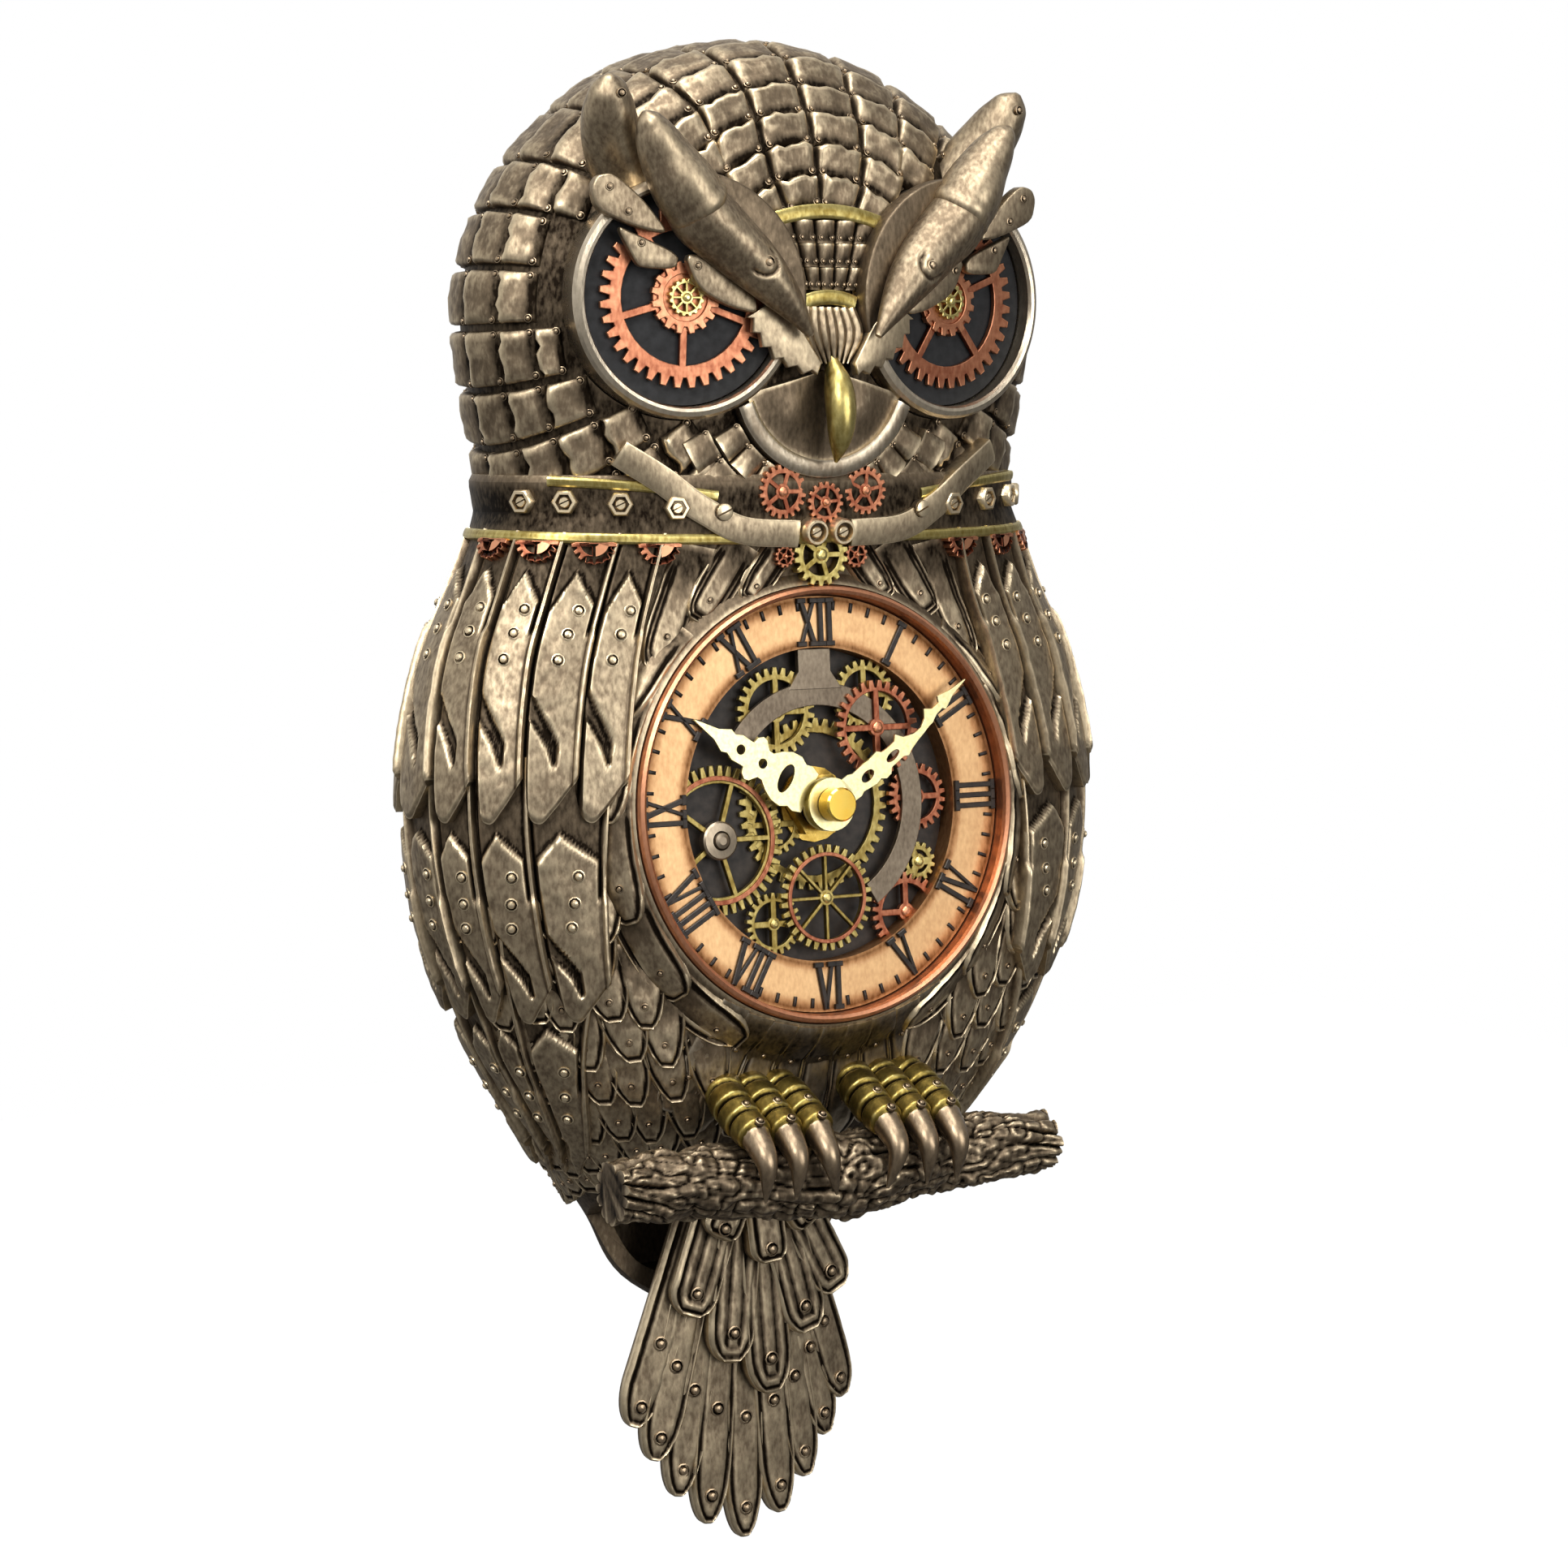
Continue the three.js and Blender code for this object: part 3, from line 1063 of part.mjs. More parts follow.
// Hands
function handOutline(length, boss, waist, leafAt, leafHalf) {
  const shape = new THREE.Shape();
  shape.absarc(0, 0, boss, rad(90 + 20), rad(90 - 20) + 2 * Math.PI, false);
  shape.lineTo(waist, leafAt * 0.62);
  shape.lineTo(leafHalf, leafAt);
  shape.lineTo(waist, leafAt + leafHalf * 1.3);
  shape.lineTo(0, length);
  shape.lineTo(-waist, leafAt + leafHalf * 1.3);
  shape.lineTo(-leafHalf, leafAt);
  shape.lineTo(-waist, leafAt * 0.62);
  return shape;
}
function hand(name, { length, boss, bore, leafAt, leafHalf, back, turn }) {
  const outline = handOutline(length, boss, handWaist, leafAt, leafHalf);
  outline.holes.push(circle(bore));
  piece(name, plate(outline, back, back + handThickness).rotate([0, 0, -turn]), champagne, clock);
}
hand("hour_hand", { length: hourHandLength, boss: hourPipeRadius + hourHandBoss,
  bore: hourPipeRadius + fitGap, leafAt: hourLeafAt, leafHalf: hourLeafHalf, back: hourHandZ,
  turn: hourHandTurn });
hand("minute_hand", { length: minuteHandLength, boss: arborRadius + minuteHandBoss,
  bore: arborRadius + fitGap, leafAt: minuteLeafAt, leafHalf: minuteLeafHalf, back: minuteHandZ,
  turn: minuteHandTurn });
piece("hand_nut", cut(disc(capRadius, capBack, capBack + capLength),
  disc(arborRadius + fitGap, capBack - cutPast, arborEnd + fitGap)), gold, clock);

// Pendulum: lever on the cover's pin, rod on the lever's hook, tail on the rod
const hookBack = leverBack - rodThickness - 4 * fitGap - hookProud;
const leverOutline = new THREE.Shape();
leverOutline.absarc(0, pivotHeight, leverWidth / 2, 0, Math.PI, false);
leverOutline.lineTo(-leverWidth / 2, hookHeight);
leverOutline.absarc(0, hookHeight, leverWidth / 2, Math.PI, 2 * Math.PI, false);
leverOutline.holes.push(circle(pendulumPin + fitGap, 0, pivotHeight));
piece("pendulum_lever", join(plate(leverOutline, leverBack, leverFront),
  disc(hookRadius, hookBack, leverBack + leverThickness / 2, { y: hookHeight })), whitePlastic, clock);
const magnetFront = leverBack - fitGap;
piece("lever_magnet", disc(magnetRadius, magnetFront - magnetThickness, magnetFront, { y: magnetHeight }),
  steel, clock);
const hookZ = dialZ + hookHeight * cosLean + leverBack * sinLean;
const hookY = -dialDepth + hookHeight * sinLean - leverBack * cosLean;
const rodFront = hookY + 2 * fitGap;
const rodBottomZ = tailTopZ - rodInTail;
const rodOutline = new THREE.Shape();
rodOutline.absarc(0, hookZ, rodEye, rad(-55), rad(235), false);
rodOutline.lineTo(-rodWidth / 2, rodBottomZ);
rodOutline.lineTo(rodWidth / 2, rodBottomZ);
rodOutline.holes.push(circle(hookRadius + hookPlay, 0, hookZ));
const upright = (shape, front, thickness) =>
  solidOf(new THREE.ExtrudeGeometry(shape, { depth: thickness, bevelEnabled: false, curveSegments: 3 })
    .rotateX(Math.PI / 2).translate(0, front + thickness, 0));
piece("pendulum_rod", upright(rodOutline, rodFront, rodThickness), steel);

function tailFeather([across, down], front) {
  const tipX = across * tailHalf;
  const rootX = tipX * featherRootShare;
  const lean = Math.atan2(tipX - rootX, down * tailLength);
  const length = Math.hypot(tipX - rootX, down * tailLength);
  const shape = new THREE.Shape();
  shape.moveTo(-featherHalf * featherTaper, 0);
  shape.lineTo(featherHalf * featherTaper, 0);
  shape.lineTo(featherHalf, featherHalf - length);
  shape.absarc(0, featherHalf - length, featherHalf, 0, -Math.PI, true);
  const fan = -THREE.MathUtils.radToDeg(lean);
  return upright(shape, front, tailLayer).rotate([0, fan, 0]).translate([rootX, 0, tailTopZ]);
}
const feathers = tailTips.flatMap((tips, layer) => {
  const front = -tailBack - tailLayer - layer * tailStep;
  const both = tips.flatMap((tip) => (tip[0] > 0 ? [tip, [-tip[0], tip[1]]] : [tip]));
  return both.map((tip) => tailFeather(tip, front));
});
const slotHalf = rodWidth / 2 + fitGap;
const rodSlot = block(-slotHalf, slotHalf, rodFront - fitGap, rodFront + rodThickness + fitGap,
  rodBottomZ - fitGap, tailTopZ + cutPast);
piece("tail_bob", cut(join(...feathers), rodSlot), bronze);

// Perch and feet
const branchShape = { steps: branchFacets, sides: branchFacets };
const branchRoom = taperedTube(branchPath, { ...branchShape, grow: fitGap });
piece("perch_branch", taperedTube(branchPath, branchShape), bronze);
const [, branchMiddleY, branchMiddleZ, branchMiddleRadius] = branchPath[2];
const branchTopZ = branchMiddleZ + branchMiddleRadius;
const branchFrontY = branchMiddleY - branchMiddleRadius;
const onBranch = (x, { behind, above, radius }) => [x, branchFrontY + behind, branchTopZ + above, radius];
[-1, 1].forEach((side) => {
  const digits = toes.flatMap(({ x, tipX }) => {
    const toe = [ankle, [(x + ankle[0]) / 2, instepY, branchTopZ + instep.above, instep.radius],
      onBranch(x, knuckle), onBranch(x, toeEnd)];
    const claw = [onBranch(x, clawRoot), onBranch(x, clawBend), onBranch(tipX, clawTip)];
    return [taperedTube(mirrored(toe, side), { steps: 5, sides: 6 }),
      taperedTube(mirrored(claw, side), { steps: 3, sides: 5 })];
  });
  piece(`foot_${sideName(side)}`, cut(join(...digits), torsoRoom, branchRoom), gold);
});

// Hanger plate and its screws
const hangerShape = polygon([[-hangerHalfWidth, hangerBottom], [hangerHalfWidth, hangerBottom],
  [hangerHalfWidth, hangerTop], [-hangerHalfWidth, hangerTop]]);
const keyhole = new THREE.Path();
const slotMeet = Math.acos(keySlotRadius / keyholeRadius);
keyhole.absarc(0, keySlotZ, keySlotRadius, 0, Math.PI, false);
keyhole.absarc(0, keyholeZ, keyholeRadius, Math.PI - slotMeet, 2 * Math.PI + slotMeet, false);
hangerShape.holes.push(keyhole);
[-1, 1].forEach((side) => {
  hangerShape.holes.push(circle(hangerScrewRadius + fitGap, side * hangerScrewX, hangerScrewZ));
});
piece("hanger_plate", upright(hangerShape, -hangerThickness, hangerThickness), steel);
[-1, 1].forEach((side) => {
  const shank = [[side * hangerScrewX, 0, hangerScrewZ, hangerScrewRadius],
    [side * hangerScrewX, -hangerScrewLength + cutPast / 2, hangerScrewZ, hangerScrewRadius]];
  piece(`hanger_screw_${sideName(side)}`, taperedTube(shank, { steps: 1, sides: pinFacets }), steel);
});

export default owl;
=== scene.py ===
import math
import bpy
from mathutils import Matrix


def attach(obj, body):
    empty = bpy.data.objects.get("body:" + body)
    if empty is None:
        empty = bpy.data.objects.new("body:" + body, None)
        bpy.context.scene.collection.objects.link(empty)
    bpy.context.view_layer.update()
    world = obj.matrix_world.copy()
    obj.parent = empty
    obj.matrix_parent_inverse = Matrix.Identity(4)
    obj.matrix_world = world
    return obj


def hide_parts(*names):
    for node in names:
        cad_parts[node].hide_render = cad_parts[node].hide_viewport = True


bl_info = {
    "name": "Owl pendulum clock",
    "version": (1, 0, 0),
    "blender": (4, 5, 0),
    "location": "View3D > Sidebar > Owl clock",
    "description": "Builds a cast bronze owl wall clock piece by piece over its CAD frame",
    "category": "Object",
}

from types import SimpleNamespace

import bmesh
import bpy
import numpy as np
from bpy.props import FloatProperty, FloatVectorProperty, PointerProperty
from mathutils import Matrix, Vector

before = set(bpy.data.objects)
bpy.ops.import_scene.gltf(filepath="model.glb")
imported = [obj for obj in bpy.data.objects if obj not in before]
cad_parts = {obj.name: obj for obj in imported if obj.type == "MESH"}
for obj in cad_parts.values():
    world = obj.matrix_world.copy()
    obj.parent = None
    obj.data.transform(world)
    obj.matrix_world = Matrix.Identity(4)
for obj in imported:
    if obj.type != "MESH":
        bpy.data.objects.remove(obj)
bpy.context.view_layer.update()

# Form of the owl, millimetres: height, half width and depth of each horizontal section
HEAD = np.array([
    (45, 5, 28), (41, 23, 38), (34, 38.5, 45), (24, 51.5, 51), (12, 62.5, 54.5),
    (0, 68.5, 56.5), (-15, 72, 57), (-30, 70.5, 56.5), (-45, 67.5, 55.5), (-60, 65, 54)])
TORSO = np.array([
    (-60, 65, 54), (-78, 72, 52.5), (-95, 79, 54), (-122, 83.5, 57), (-150, 80, 57.5), (-175, 70, 55),
    (-192, 59, 50), (-207, 48, 40), (-222, 36, 26), (-238, 25, 16), (-251, 4, 10)])
# Distance of the widest line from the wall and squareness of the sections, of the head and of the torso
WAIST = (22.0, 26.0)
SQUARENESS = (2.3, 2.5)
# Height where head and torso meet, and how far the sections turn in behind their widest line
SEAM = -60.0
TUCK = math.radians(35)
HEAD_CENTRE = np.array((0.0, 0.0, -15.0))
# Radius and height of the middle of the chin's arc
CHIN = (21.6, -28.8)
# Middle of the right eye, and how far each eye looks outward
EYE_CENTRE = (34.0, -54.0, -13.4)
EYE_TOE = math.radians(9)
# Places are an origin and three axes; the dial leans back by 4.3 degrees with the chest
DIAL_CENTRE = np.array((0.0, -55.3, -124.9))
DIAL_UP = np.array((0.0, 0.074979, 0.997185))
DIAL_OUT = np.array((0.0, -0.997185, 0.074979))
DIAL = (DIAL_CENTRE, np.array((1.0, 0.0, 0.0)), DIAL_UP, DIAL_OUT)
FLAT = (np.zeros(3), *np.eye(3))
UPRIGHT = (np.array((1.0, 0, 0)), np.array((0, 0, 1.0)), np.array((0, -1.0, 0)))
SIDES = (-1, 1)
# Wear of faces that nothing can rub, also painted shade under the relief, and size of the clouds in the
# metal's colour
UNDERSIDE = -0.4
CLOUD = 9.0


def smooth(low, high, x):
    """0 up to low, 1 from high on and an even ease between; high may be the smaller of the two."""
    t = np.clip((x - low) / (high - low), 0, 1)
    return t * t * (3 - 2 * t)


def hermite(values, slope, i, t, h):
    """Cubic from station i to the next, at share t of the distance h between them."""
    value = (2 * t**3 - 3 * t**2 + 1) * values[i] + (3 * t**2 - 2 * t**3) * values[i + 1]
    return value + (t**3 - 2 * t**2 + t) * h * slope[i] + (t**3 - t**2) * h * slope[i + 1]


def along(stations, column, z):
    """One column of the owl's stations, carried smoothly to a height."""
    zs, values = stations[:, 0], stations[:, column]
    each = np.arange(len(zs))
    before, after = np.maximum(each - 1, 0), np.minimum(each + 1, len(zs) - 1)
    slope = (values[after] - values[before]) / (zs[after] - zs[before])
    z = np.clip(z, zs[-1], zs[0])
    i = np.clip(np.searchsorted(-zs, -z, side="right") - 1, 0, len(zs) - 2)
    h = zs[i + 1] - zs[i]
    return hermite(values, slope, i, (z - zs[i]) / h, h)


def section(z):
    """Half width, depth, distance of the widest line from the wall and squareness at a height."""
    upper = z > SEAM
    width = np.where(upper, along(HEAD, 1, z), along(TORSO, 1, z))
    depth = np.where(upper, along(HEAD, 2, z), along(TORSO, 2, z))
    waist = np.minimum(np.where(upper, *WAIST), 0.45 * depth)
    return width, depth, waist, np.where(upper, *SQUARENESS)


def body(turn, z, grow=0.0):
    """Point of the owl's skin at a turn in degrees from the front and a height."""
    turn, z = np.broadcast_arrays(np.asarray(turn, float), np.asarray(z, float))
    width, depth, waist, power = section(z)
    width, depth = width + grow, depth + grow
    t = np.abs(turn)
    fore = np.radians(np.minimum(t, 90))
    aft = np.radians(np.maximum(t - 90, 0))
    x = np.where(t <= 90, width * np.sin(fore) ** (2 / power), width * np.cos(aft))
    y = np.where(t <= 90, waist + (depth - waist) * np.abs(np.cos(fore)) ** (2 / power),
                 waist * (1 - np.sin(aft) / math.sin(TUCK)))
    return np.stack([np.sign(turn) * x, -y, z], -1)


def turn_at(x, z):
    """Turn in degrees of the skin's point with that x, in front of the widest line."""
    width, _, _, power = section(np.asarray(z, float))
    return np.sign(x) * np.degrees(np.arcsin(np.clip(np.abs(x) / width, 0, 1) ** (power / 2)))


def head(phi, theta):
    """Point of the head's skin: phi round the line of sight from straight up, theta away from it."""
    p, t = np.radians(phi), np.radians(theta)
    ray = np.stack([np.sin(t) * np.sin(p), -np.cos(t), np.sin(t) * np.cos(p)], -1)
    # The skin lies between these two distances, and halving closes in on it
    near, far = np.full(p.shape, 5.0), np.full(p.shape, 120.0)
    for _ in range(24):
        reach = (near + far) / 2
        q = HEAD_CENTRE + ray * reach[..., None]
        x, y, z = np.abs(q[..., 0]), -q[..., 1], q[..., 2]
        width, depth, waist, power = section(np.maximum(z, SEAM + 0.01))
        ahead = (x / width) ** power + (np.maximum(y - waist, 0) / (depth - waist)) ** power <= 1
        tucked = 1 - ((1 - np.clip(y / waist, 0, 1)) * math.sin(TUCK)) ** 2
        inside = np.where(y > waist, ahead, x <= width * np.sqrt(tucked)) & (z < HEAD[0, 0]) & (z > SEAM - 4)
        near, far = np.where(inside, reach, near), np.where(inside, far, reach)
    return HEAD_CENTRE + ray * near[..., None]


def outward(surface, u, v, step=0.4):
    """Points of a surface and the unit vectors that point out of the owl there."""
    p = surface(u, v)
    n = np.cross(surface(u + step, v) - surface(u - step, v), surface(u, v + step) - surface(u, v - step))
    middle = p * 0
    middle[..., 2] = np.minimum(p[..., 2], HEAD_CENTRE[2])
    n *= np.sign(np.sum(n * (p - middle), -1, keepdims=True))
    return p, n / np.maximum(np.linalg.norm(n, axis=-1, keepdims=True), 1e-9)


def lattice_noise(p, size, seed=0):
    """Smooth noise from -1 to 1 with bumps of about that size in millimetres."""
    q = np.asarray(p) / size
    cell = np.floor(q).astype(np.int64)
    f = q - cell
    f = f * f * (3 - 2 * f)
    total = np.zeros(q.shape[:-1])
    for corner in range(8):
        step = np.array((corner & 1, corner >> 1 & 1, corner >> 2 & 1))
        c = cell + step
        h = (c[..., 0] * 73856093 ^ c[..., 1] * 19349663 ^ c[..., 2] * 83492791 ^ seed * 2654435) & 0xFFFFFF
        h = (h * 1103515245 + 12345 >> 7) & 0xFFFF
        weight = np.prod(np.where(step == 1, f, 1 - f), -1)
        total += weight * (h / 32767.5 - 1)
    return total


def hammered(p, depth, seed=0):
    """Dents of about that depth, in two sizes."""
    return depth * (0.7 * lattice_noise(p, 3.2, seed) + 0.45 * lattice_noise(p, 1.5, seed + 7))


def barrel(rows, around, ring=False):
    """Faces of a stack of loops: a wall with two end faces, or a wall that closes on itself."""
    index = np.arange(rows * around).reshape(rows, around)
    turned = np.roll(index, -1, 1)
    first = np.arange(rows if ring else rows - 1)
    after = (first + 1) % rows
    wall = np.stack([index[first], turned[first], turned[after], index[after]], -1).reshape(-1, 4).tolist()
    return wall if ring else wall + [index[0, ::-1].tolist(), index[-1].tolist()]


class Build:
    """Closed shapes gathered into one mesh, in millimetres."""

    def __init__(self):
        self.points, self.faces = [], []
        self.bias, self.finish = [], []
        self.size = 0

    def add(self, points, faces, bias=0.0, finish=0, place=None):
        """Adds a closed shape; bias shifts its wear and painted shading, finish is its material's number in
        the piece's list.
        """
        points = np.asarray(points, float).reshape(-1, 3)
        if place is not None:
            points = place[0] + points @ np.array(place[1:])
        self.points.append(points)
        self.faces.extend([[i + self.size for i in face] for face in faces])
        self.bias.append(np.broadcast_to(np.asarray(bias, float).reshape(-1), len(points)))
        self.finish.extend([finish] * len(faces))
        self.size += len(points)

    def slab(self, top, bottom, bias=0.0, finish=0, plain=False):
        """A grid of points and another under it, closed round the edge; a plain one has one face behind."""
        rows, cols = top.shape[:2]
        index = np.arange(rows * cols).reshape(rows, cols)
        quads = np.stack([index[:-1, :-1], index[1:, :-1], index[1:, 1:], index[:-1, 1:]], -1).reshape(-1, 4)
        edge = np.concatenate([index[0, :-1], index[:-1, -1], index[-1, :0:-1], index[:0:-1, 0]])
        under = rows * cols
        shade = np.broadcast_to(bias, (rows, cols)).reshape(-1)
        below = bottom.reshape(-1, 3)
        base = edge + under
        if plain:
            below = below[edge]
            base = np.arange(len(edge)) + under
        wall = np.stack([edge, np.roll(edge, -1), np.roll(base, -1), base], -1)
        if plain:
            faces = quads.tolist() + wall.tolist() + [base.tolist()]
        else:
            faces = np.concatenate([quads, quads[:, ::-1] + under, wall]).tolist()
        self.add(np.concatenate([top.reshape(-1, 3), below]), faces,
                 np.concatenate([shade, np.full(len(below), UNDERSIDE)]), finish)

    def relief(self, surface, u, v, lift, under, bias=0.0, finish=0, plain=True, floor=-math.inf):
        """A slab on a surface, raised by lift and sunk by under, that stops at the wall and a floor."""
        p, n = outward(surface, u, v)
        grids = [p + n * np.asarray(lift)[..., None], p - n * under]
        for grid in grids:
            grid[..., 1] = np.minimum(grid[..., 1], 0)
            grid[..., 2] = np.maximum(grid[..., 2], floor)
        self.slab(*grids, bias, finish, plain)

    def tube(self, path, rings=24, sides=16, flat=1.0, up=(0, 0, 1), shape=None, bias=0.0, finish=0):
        """A round bar along points given as x, y, z, radius; shape(share, angle) scales the radius."""
        path = np.asarray(path, float)
        share = np.linspace(0, 1, rings)
        reach = np.concatenate([[0], np.cumsum(np.linalg.norm(np.diff(path[:, :3], axis=0), axis=1))])
        flow = spline(reach / reach[-1], path, share)
        centre, radius = flow[:, :3], np.maximum(flow[:, 3], 0.05)
        ahead = np.gradient(centre, axis=0)
        ahead /= np.linalg.norm(ahead, axis=1, keepdims=True)
        side = np.cross(ahead, np.asarray(up, float))
        side /= np.linalg.norm(side, axis=1, keepdims=True)
        over = np.cross(side, ahead)
        angle = np.linspace(0, 2 * np.pi, sides, endpoint=False)
        swell = radius[:, None] * np.ones(sides)
        if shape is not None:
            swell = swell * shape(share[:, None], angle[None, :])
        loop = np.cos(angle)[None, :, None] * side[:, None] * flat
        loop = loop + np.sin(angle)[None, :, None] * over[:, None]
        self.add(centre[:, None] + loop * swell[..., None], barrel(rings, sides), bias, finish)

    def lathe(self, profile, place, segments=48, bias=0.0, finish=0, ring=False):
        """A profile of radius and height turned round the z of a place."""
        profile = np.asarray(profile, float)
        angle = np.linspace(0, 2 * np.pi, segments, endpoint=False)
        points = np.stack([profile[:, :1] * np.cos(angle), profile[:, :1] * np.sin(angle),
                           profile[:, 1:] * np.ones(segments)], -1)
        self.add(points, barrel(len(profile), segments, ring), bias, finish, place)

    def plate(self, loops, back, face, place, bevel=0.15, bias=0.0, finish=0):
        """A flat plate cut to outlines, the inner ones holes, with bevelled edges."""
        curve = bpy.data.curves.new("outline", "CURVE")
        curve.dimensions = "2D"
        curve.fill_mode = "BOTH"
        curve.extrude = (face - back) / 2 - bevel
        curve.bevel_depth = bevel
        curve.bevel_resolution = 1
        curve.offset = -bevel
        for loop in loops:
            spline_2d = curve.splines.new("POLY")
            spline_2d.points.add(len(loop) - 1)
            for point, (x, y) in zip(spline_2d.points, loop):
                point.co = (x, y, 0, 1)
            spline_2d.use_cyclic_u = True
        points, faces = evaluated(bpy.data.objects.new("outline", curve), merge=1e-3)
        self.add(points + np.array((0, 0, (face + back) / 2)), faces, bias, finish, place)

    def mesh(self, name):
        """All the shapes as one mesh in metres, its faces turned outward."""
        mesh = bpy.data.meshes.new(name)
        mesh.from_pydata(np.concatenate(self.points) * 0.001, [], self.faces)
        mesh.polygons.foreach_set("material_index", self.finish)
        work = bmesh.new()
        work.from_mesh(mesh)
        bmesh.ops.recalc_face_normals(work, faces=work.faces)
        work.to_mesh(mesh)
        work.free()
        return mesh

    def worn_and_shaded(self, name, gain=1.0, sharp=48):
        """The mesh with its wear and painted shading stored at each point for the material."""
        mesh = self.mesh(name)
        mesh.shade_smooth()
        mesh.set_sharp_from_angle(angle=math.radians(sharp))
        # Rubbing on edges and wash in corners, which also stand for painted highlights and painted shade,
        # plus each shape's painted shading
        value = np.clip(0.5 + gain * convexity(mesh) + np.concatenate(self.bias), 0, 1)
        mesh.attributes.new("wear_and_shade", "FLOAT", "POINT").data.foreach_set("value", value.astype(np.float32))
        return mesh

    def piece(self, name, materials, rides, replaces=(), slot=None, gain=1.0, sharp=48):
        """Hands the mesh in as a piece, with its wear and painted shading."""
        return finished(name, self.worn_and_shaded(name, gain, sharp), materials, rides, replaces)


def convexity(mesh):
    """How far each point stands out from its neighbours: above 0 on edges, below 0 in corners."""
    count = len(mesh.vertices)
    p, n = np.empty(count * 3), np.empty(count * 3)
    mesh.vertices.foreach_get("co", p)
    mesh.vertex_normals.foreach_get("vector", n)
    p, n = p.reshape(-1, 3), n.reshape(-1, 3)
    edges = np.empty(len(mesh.edges) * 2, int)
    mesh.edges.foreach_get("vertices", edges)
    a, b = edges[::2], edges[1::2]
    d = p[b] - p[a]
    d /= np.maximum(np.linalg.norm(d, axis=1, keepdims=True), 1e-9)
    total = np.bincount(a, -np.sum(d * n[a], 1), count) + np.bincount(b, np.sum(d * n[b], 1), count)
    near = np.maximum(np.bincount(a, minlength=count) + np.bincount(b, minlength=count), 1)
    bend = total / near
    spread = (np.bincount(a, bend[b], count) + np.bincount(b, bend[a], count)) / near
    return 0.6 * bend + 0.4 * spread


def spline(at, values, where):
    """Values carried smoothly through stations."""
    values = np.asarray(values, float)
    slope = np.gradient(values, at, axis=0)
    i = np.clip(np.searchsorted(at, where, side="right") - 1, 0, len(at) - 2)
    h = (at[i + 1] - at[i])[:, None]
    return hermite(values, slope, i, (where - at[i])[:, None] / h, h)


def evaluated(obj, merge=0.0):
    """Points and faces of an object with its modifiers applied; the object is then removed."""
    bpy.context.scene.collection.objects.link(obj)
    mesh = bpy.data.meshes.new_from_object(obj.evaluated_get(bpy.context.evaluated_depsgraph_get()))
    bpy.data.objects.remove(obj)
    work = bmesh.new()
    work.from_mesh(mesh)
    if merge:
        bmesh.ops.remove_doubles(work, verts=work.verts, dist=merge)
    work.verts.index_update()
    points = np.array([v.co[:] for v in work.verts])
    faces = [[v.index for v in f.verts] for f in work.faces]
    work.free()
    bpy.data.meshes.remove(mesh)
    return points, faces


def carved(block, *tools):
    """Points and faces of a block after the tools are cut out of it, in millimetres."""
    body_object = bpy.data.objects.new("block", block.mesh("block"))
    cutters = []
    for tool in tools:
        cutter = bpy.data.objects.new("tool", tool.mesh("tool"))
        bpy.context.scene.collection.objects.link(cutter)
        cut = body_object.modifiers.new("cut", "BOOLEAN")
        cut.operation = "DIFFERENCE"
        cut.solver = "MANIFOLD"
        cut.object = cutter
        cutters.append(cutter)
    points, faces = evaluated(body_object)
    for cutter in cutters:
        bpy.data.objects.remove(cutter)
    return points * 1000, faces


def finished(name, mesh, materials, rides, replaces=()):
    """Links a piece, hands it its body and hides the CAD nodes it stands for."""
    obj = bpy.data.objects.new(name, mesh)
    for material in materials[len(mesh.materials):]:
        mesh.materials.append(bpy.data.materials[material])
    bpy.context.scene.collection.objects.link(obj)
    if replaces:
        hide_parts(*replaces)
    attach(obj, rides)
    return obj


def stud_tree():
    """Node group that sets a copy of one small object on every point, turned and sized by attributes."""
    name = "Studs on points"
    if name in bpy.data.node_groups:
        return bpy.data.node_groups[name]
    tree = bpy.data.node_groups.new(name, "GeometryNodeTree")
    for label, kind in (("Points", "NodeSocketGeometry"), ("Stud", "NodeSocketObject"),
                        ("Size", "NodeSocketFloat"), ("Finish", "NodeSocketMaterial")):
        tree.interface.new_socket(label, in_out="INPUT", socket_type=kind)
    tree.interface.new_socket("Studs", in_out="OUTPUT", socket_type="NodeSocketGeometry")
    made = {}
    for key, kind in (("in", "NodeGroupInput"), ("stud", "GeometryNodeObjectInfo"),
                      ("spin", "GeometryNodeInputNamedAttribute"),
                      ("size", "GeometryNodeInputNamedAttribute"),
                      ("euler", "FunctionNodeEulerToRotation"), ("times", "ShaderNodeMath"),
                      ("copies", "GeometryNodeInstanceOnPoints"), ("real", "GeometryNodeRealizeInstances"),
                      ("paint", "GeometryNodeSetMaterial"), ("out", "NodeGroupOutput")):
        made[key] = tree.nodes.new(kind)
    made["spin"].data_type = "FLOAT_VECTOR"
    made["spin"].inputs["Name"].default_value = "spin"
    made["size"].inputs["Name"].default_value = "size"
    made["times"].operation = "MULTIPLY"
    for source, output, target, entry in (
            ("in", "Points", "copies", "Points"), ("in", "Stud", "stud", "Object"),
            ("stud", "Geometry", "copies", "Instance"), ("spin", "Attribute", "euler", "Euler"),
            ("euler", "Rotation", "copies", "Rotation"), ("size", "Attribute", "times", 0),
            ("in", "Size", "times", 1), ("times", 0, "copies", "Scale"),
            ("copies", "Instances", "real", "Geometry"), ("real", "Geometry", "paint", "Geometry"),
            ("in", "Finish", "paint", "Material"), ("paint", "Geometry", "out", "Studs")):
        tree.links.new(made[source].outputs[output], made[target].inputs[entry])
    return tree


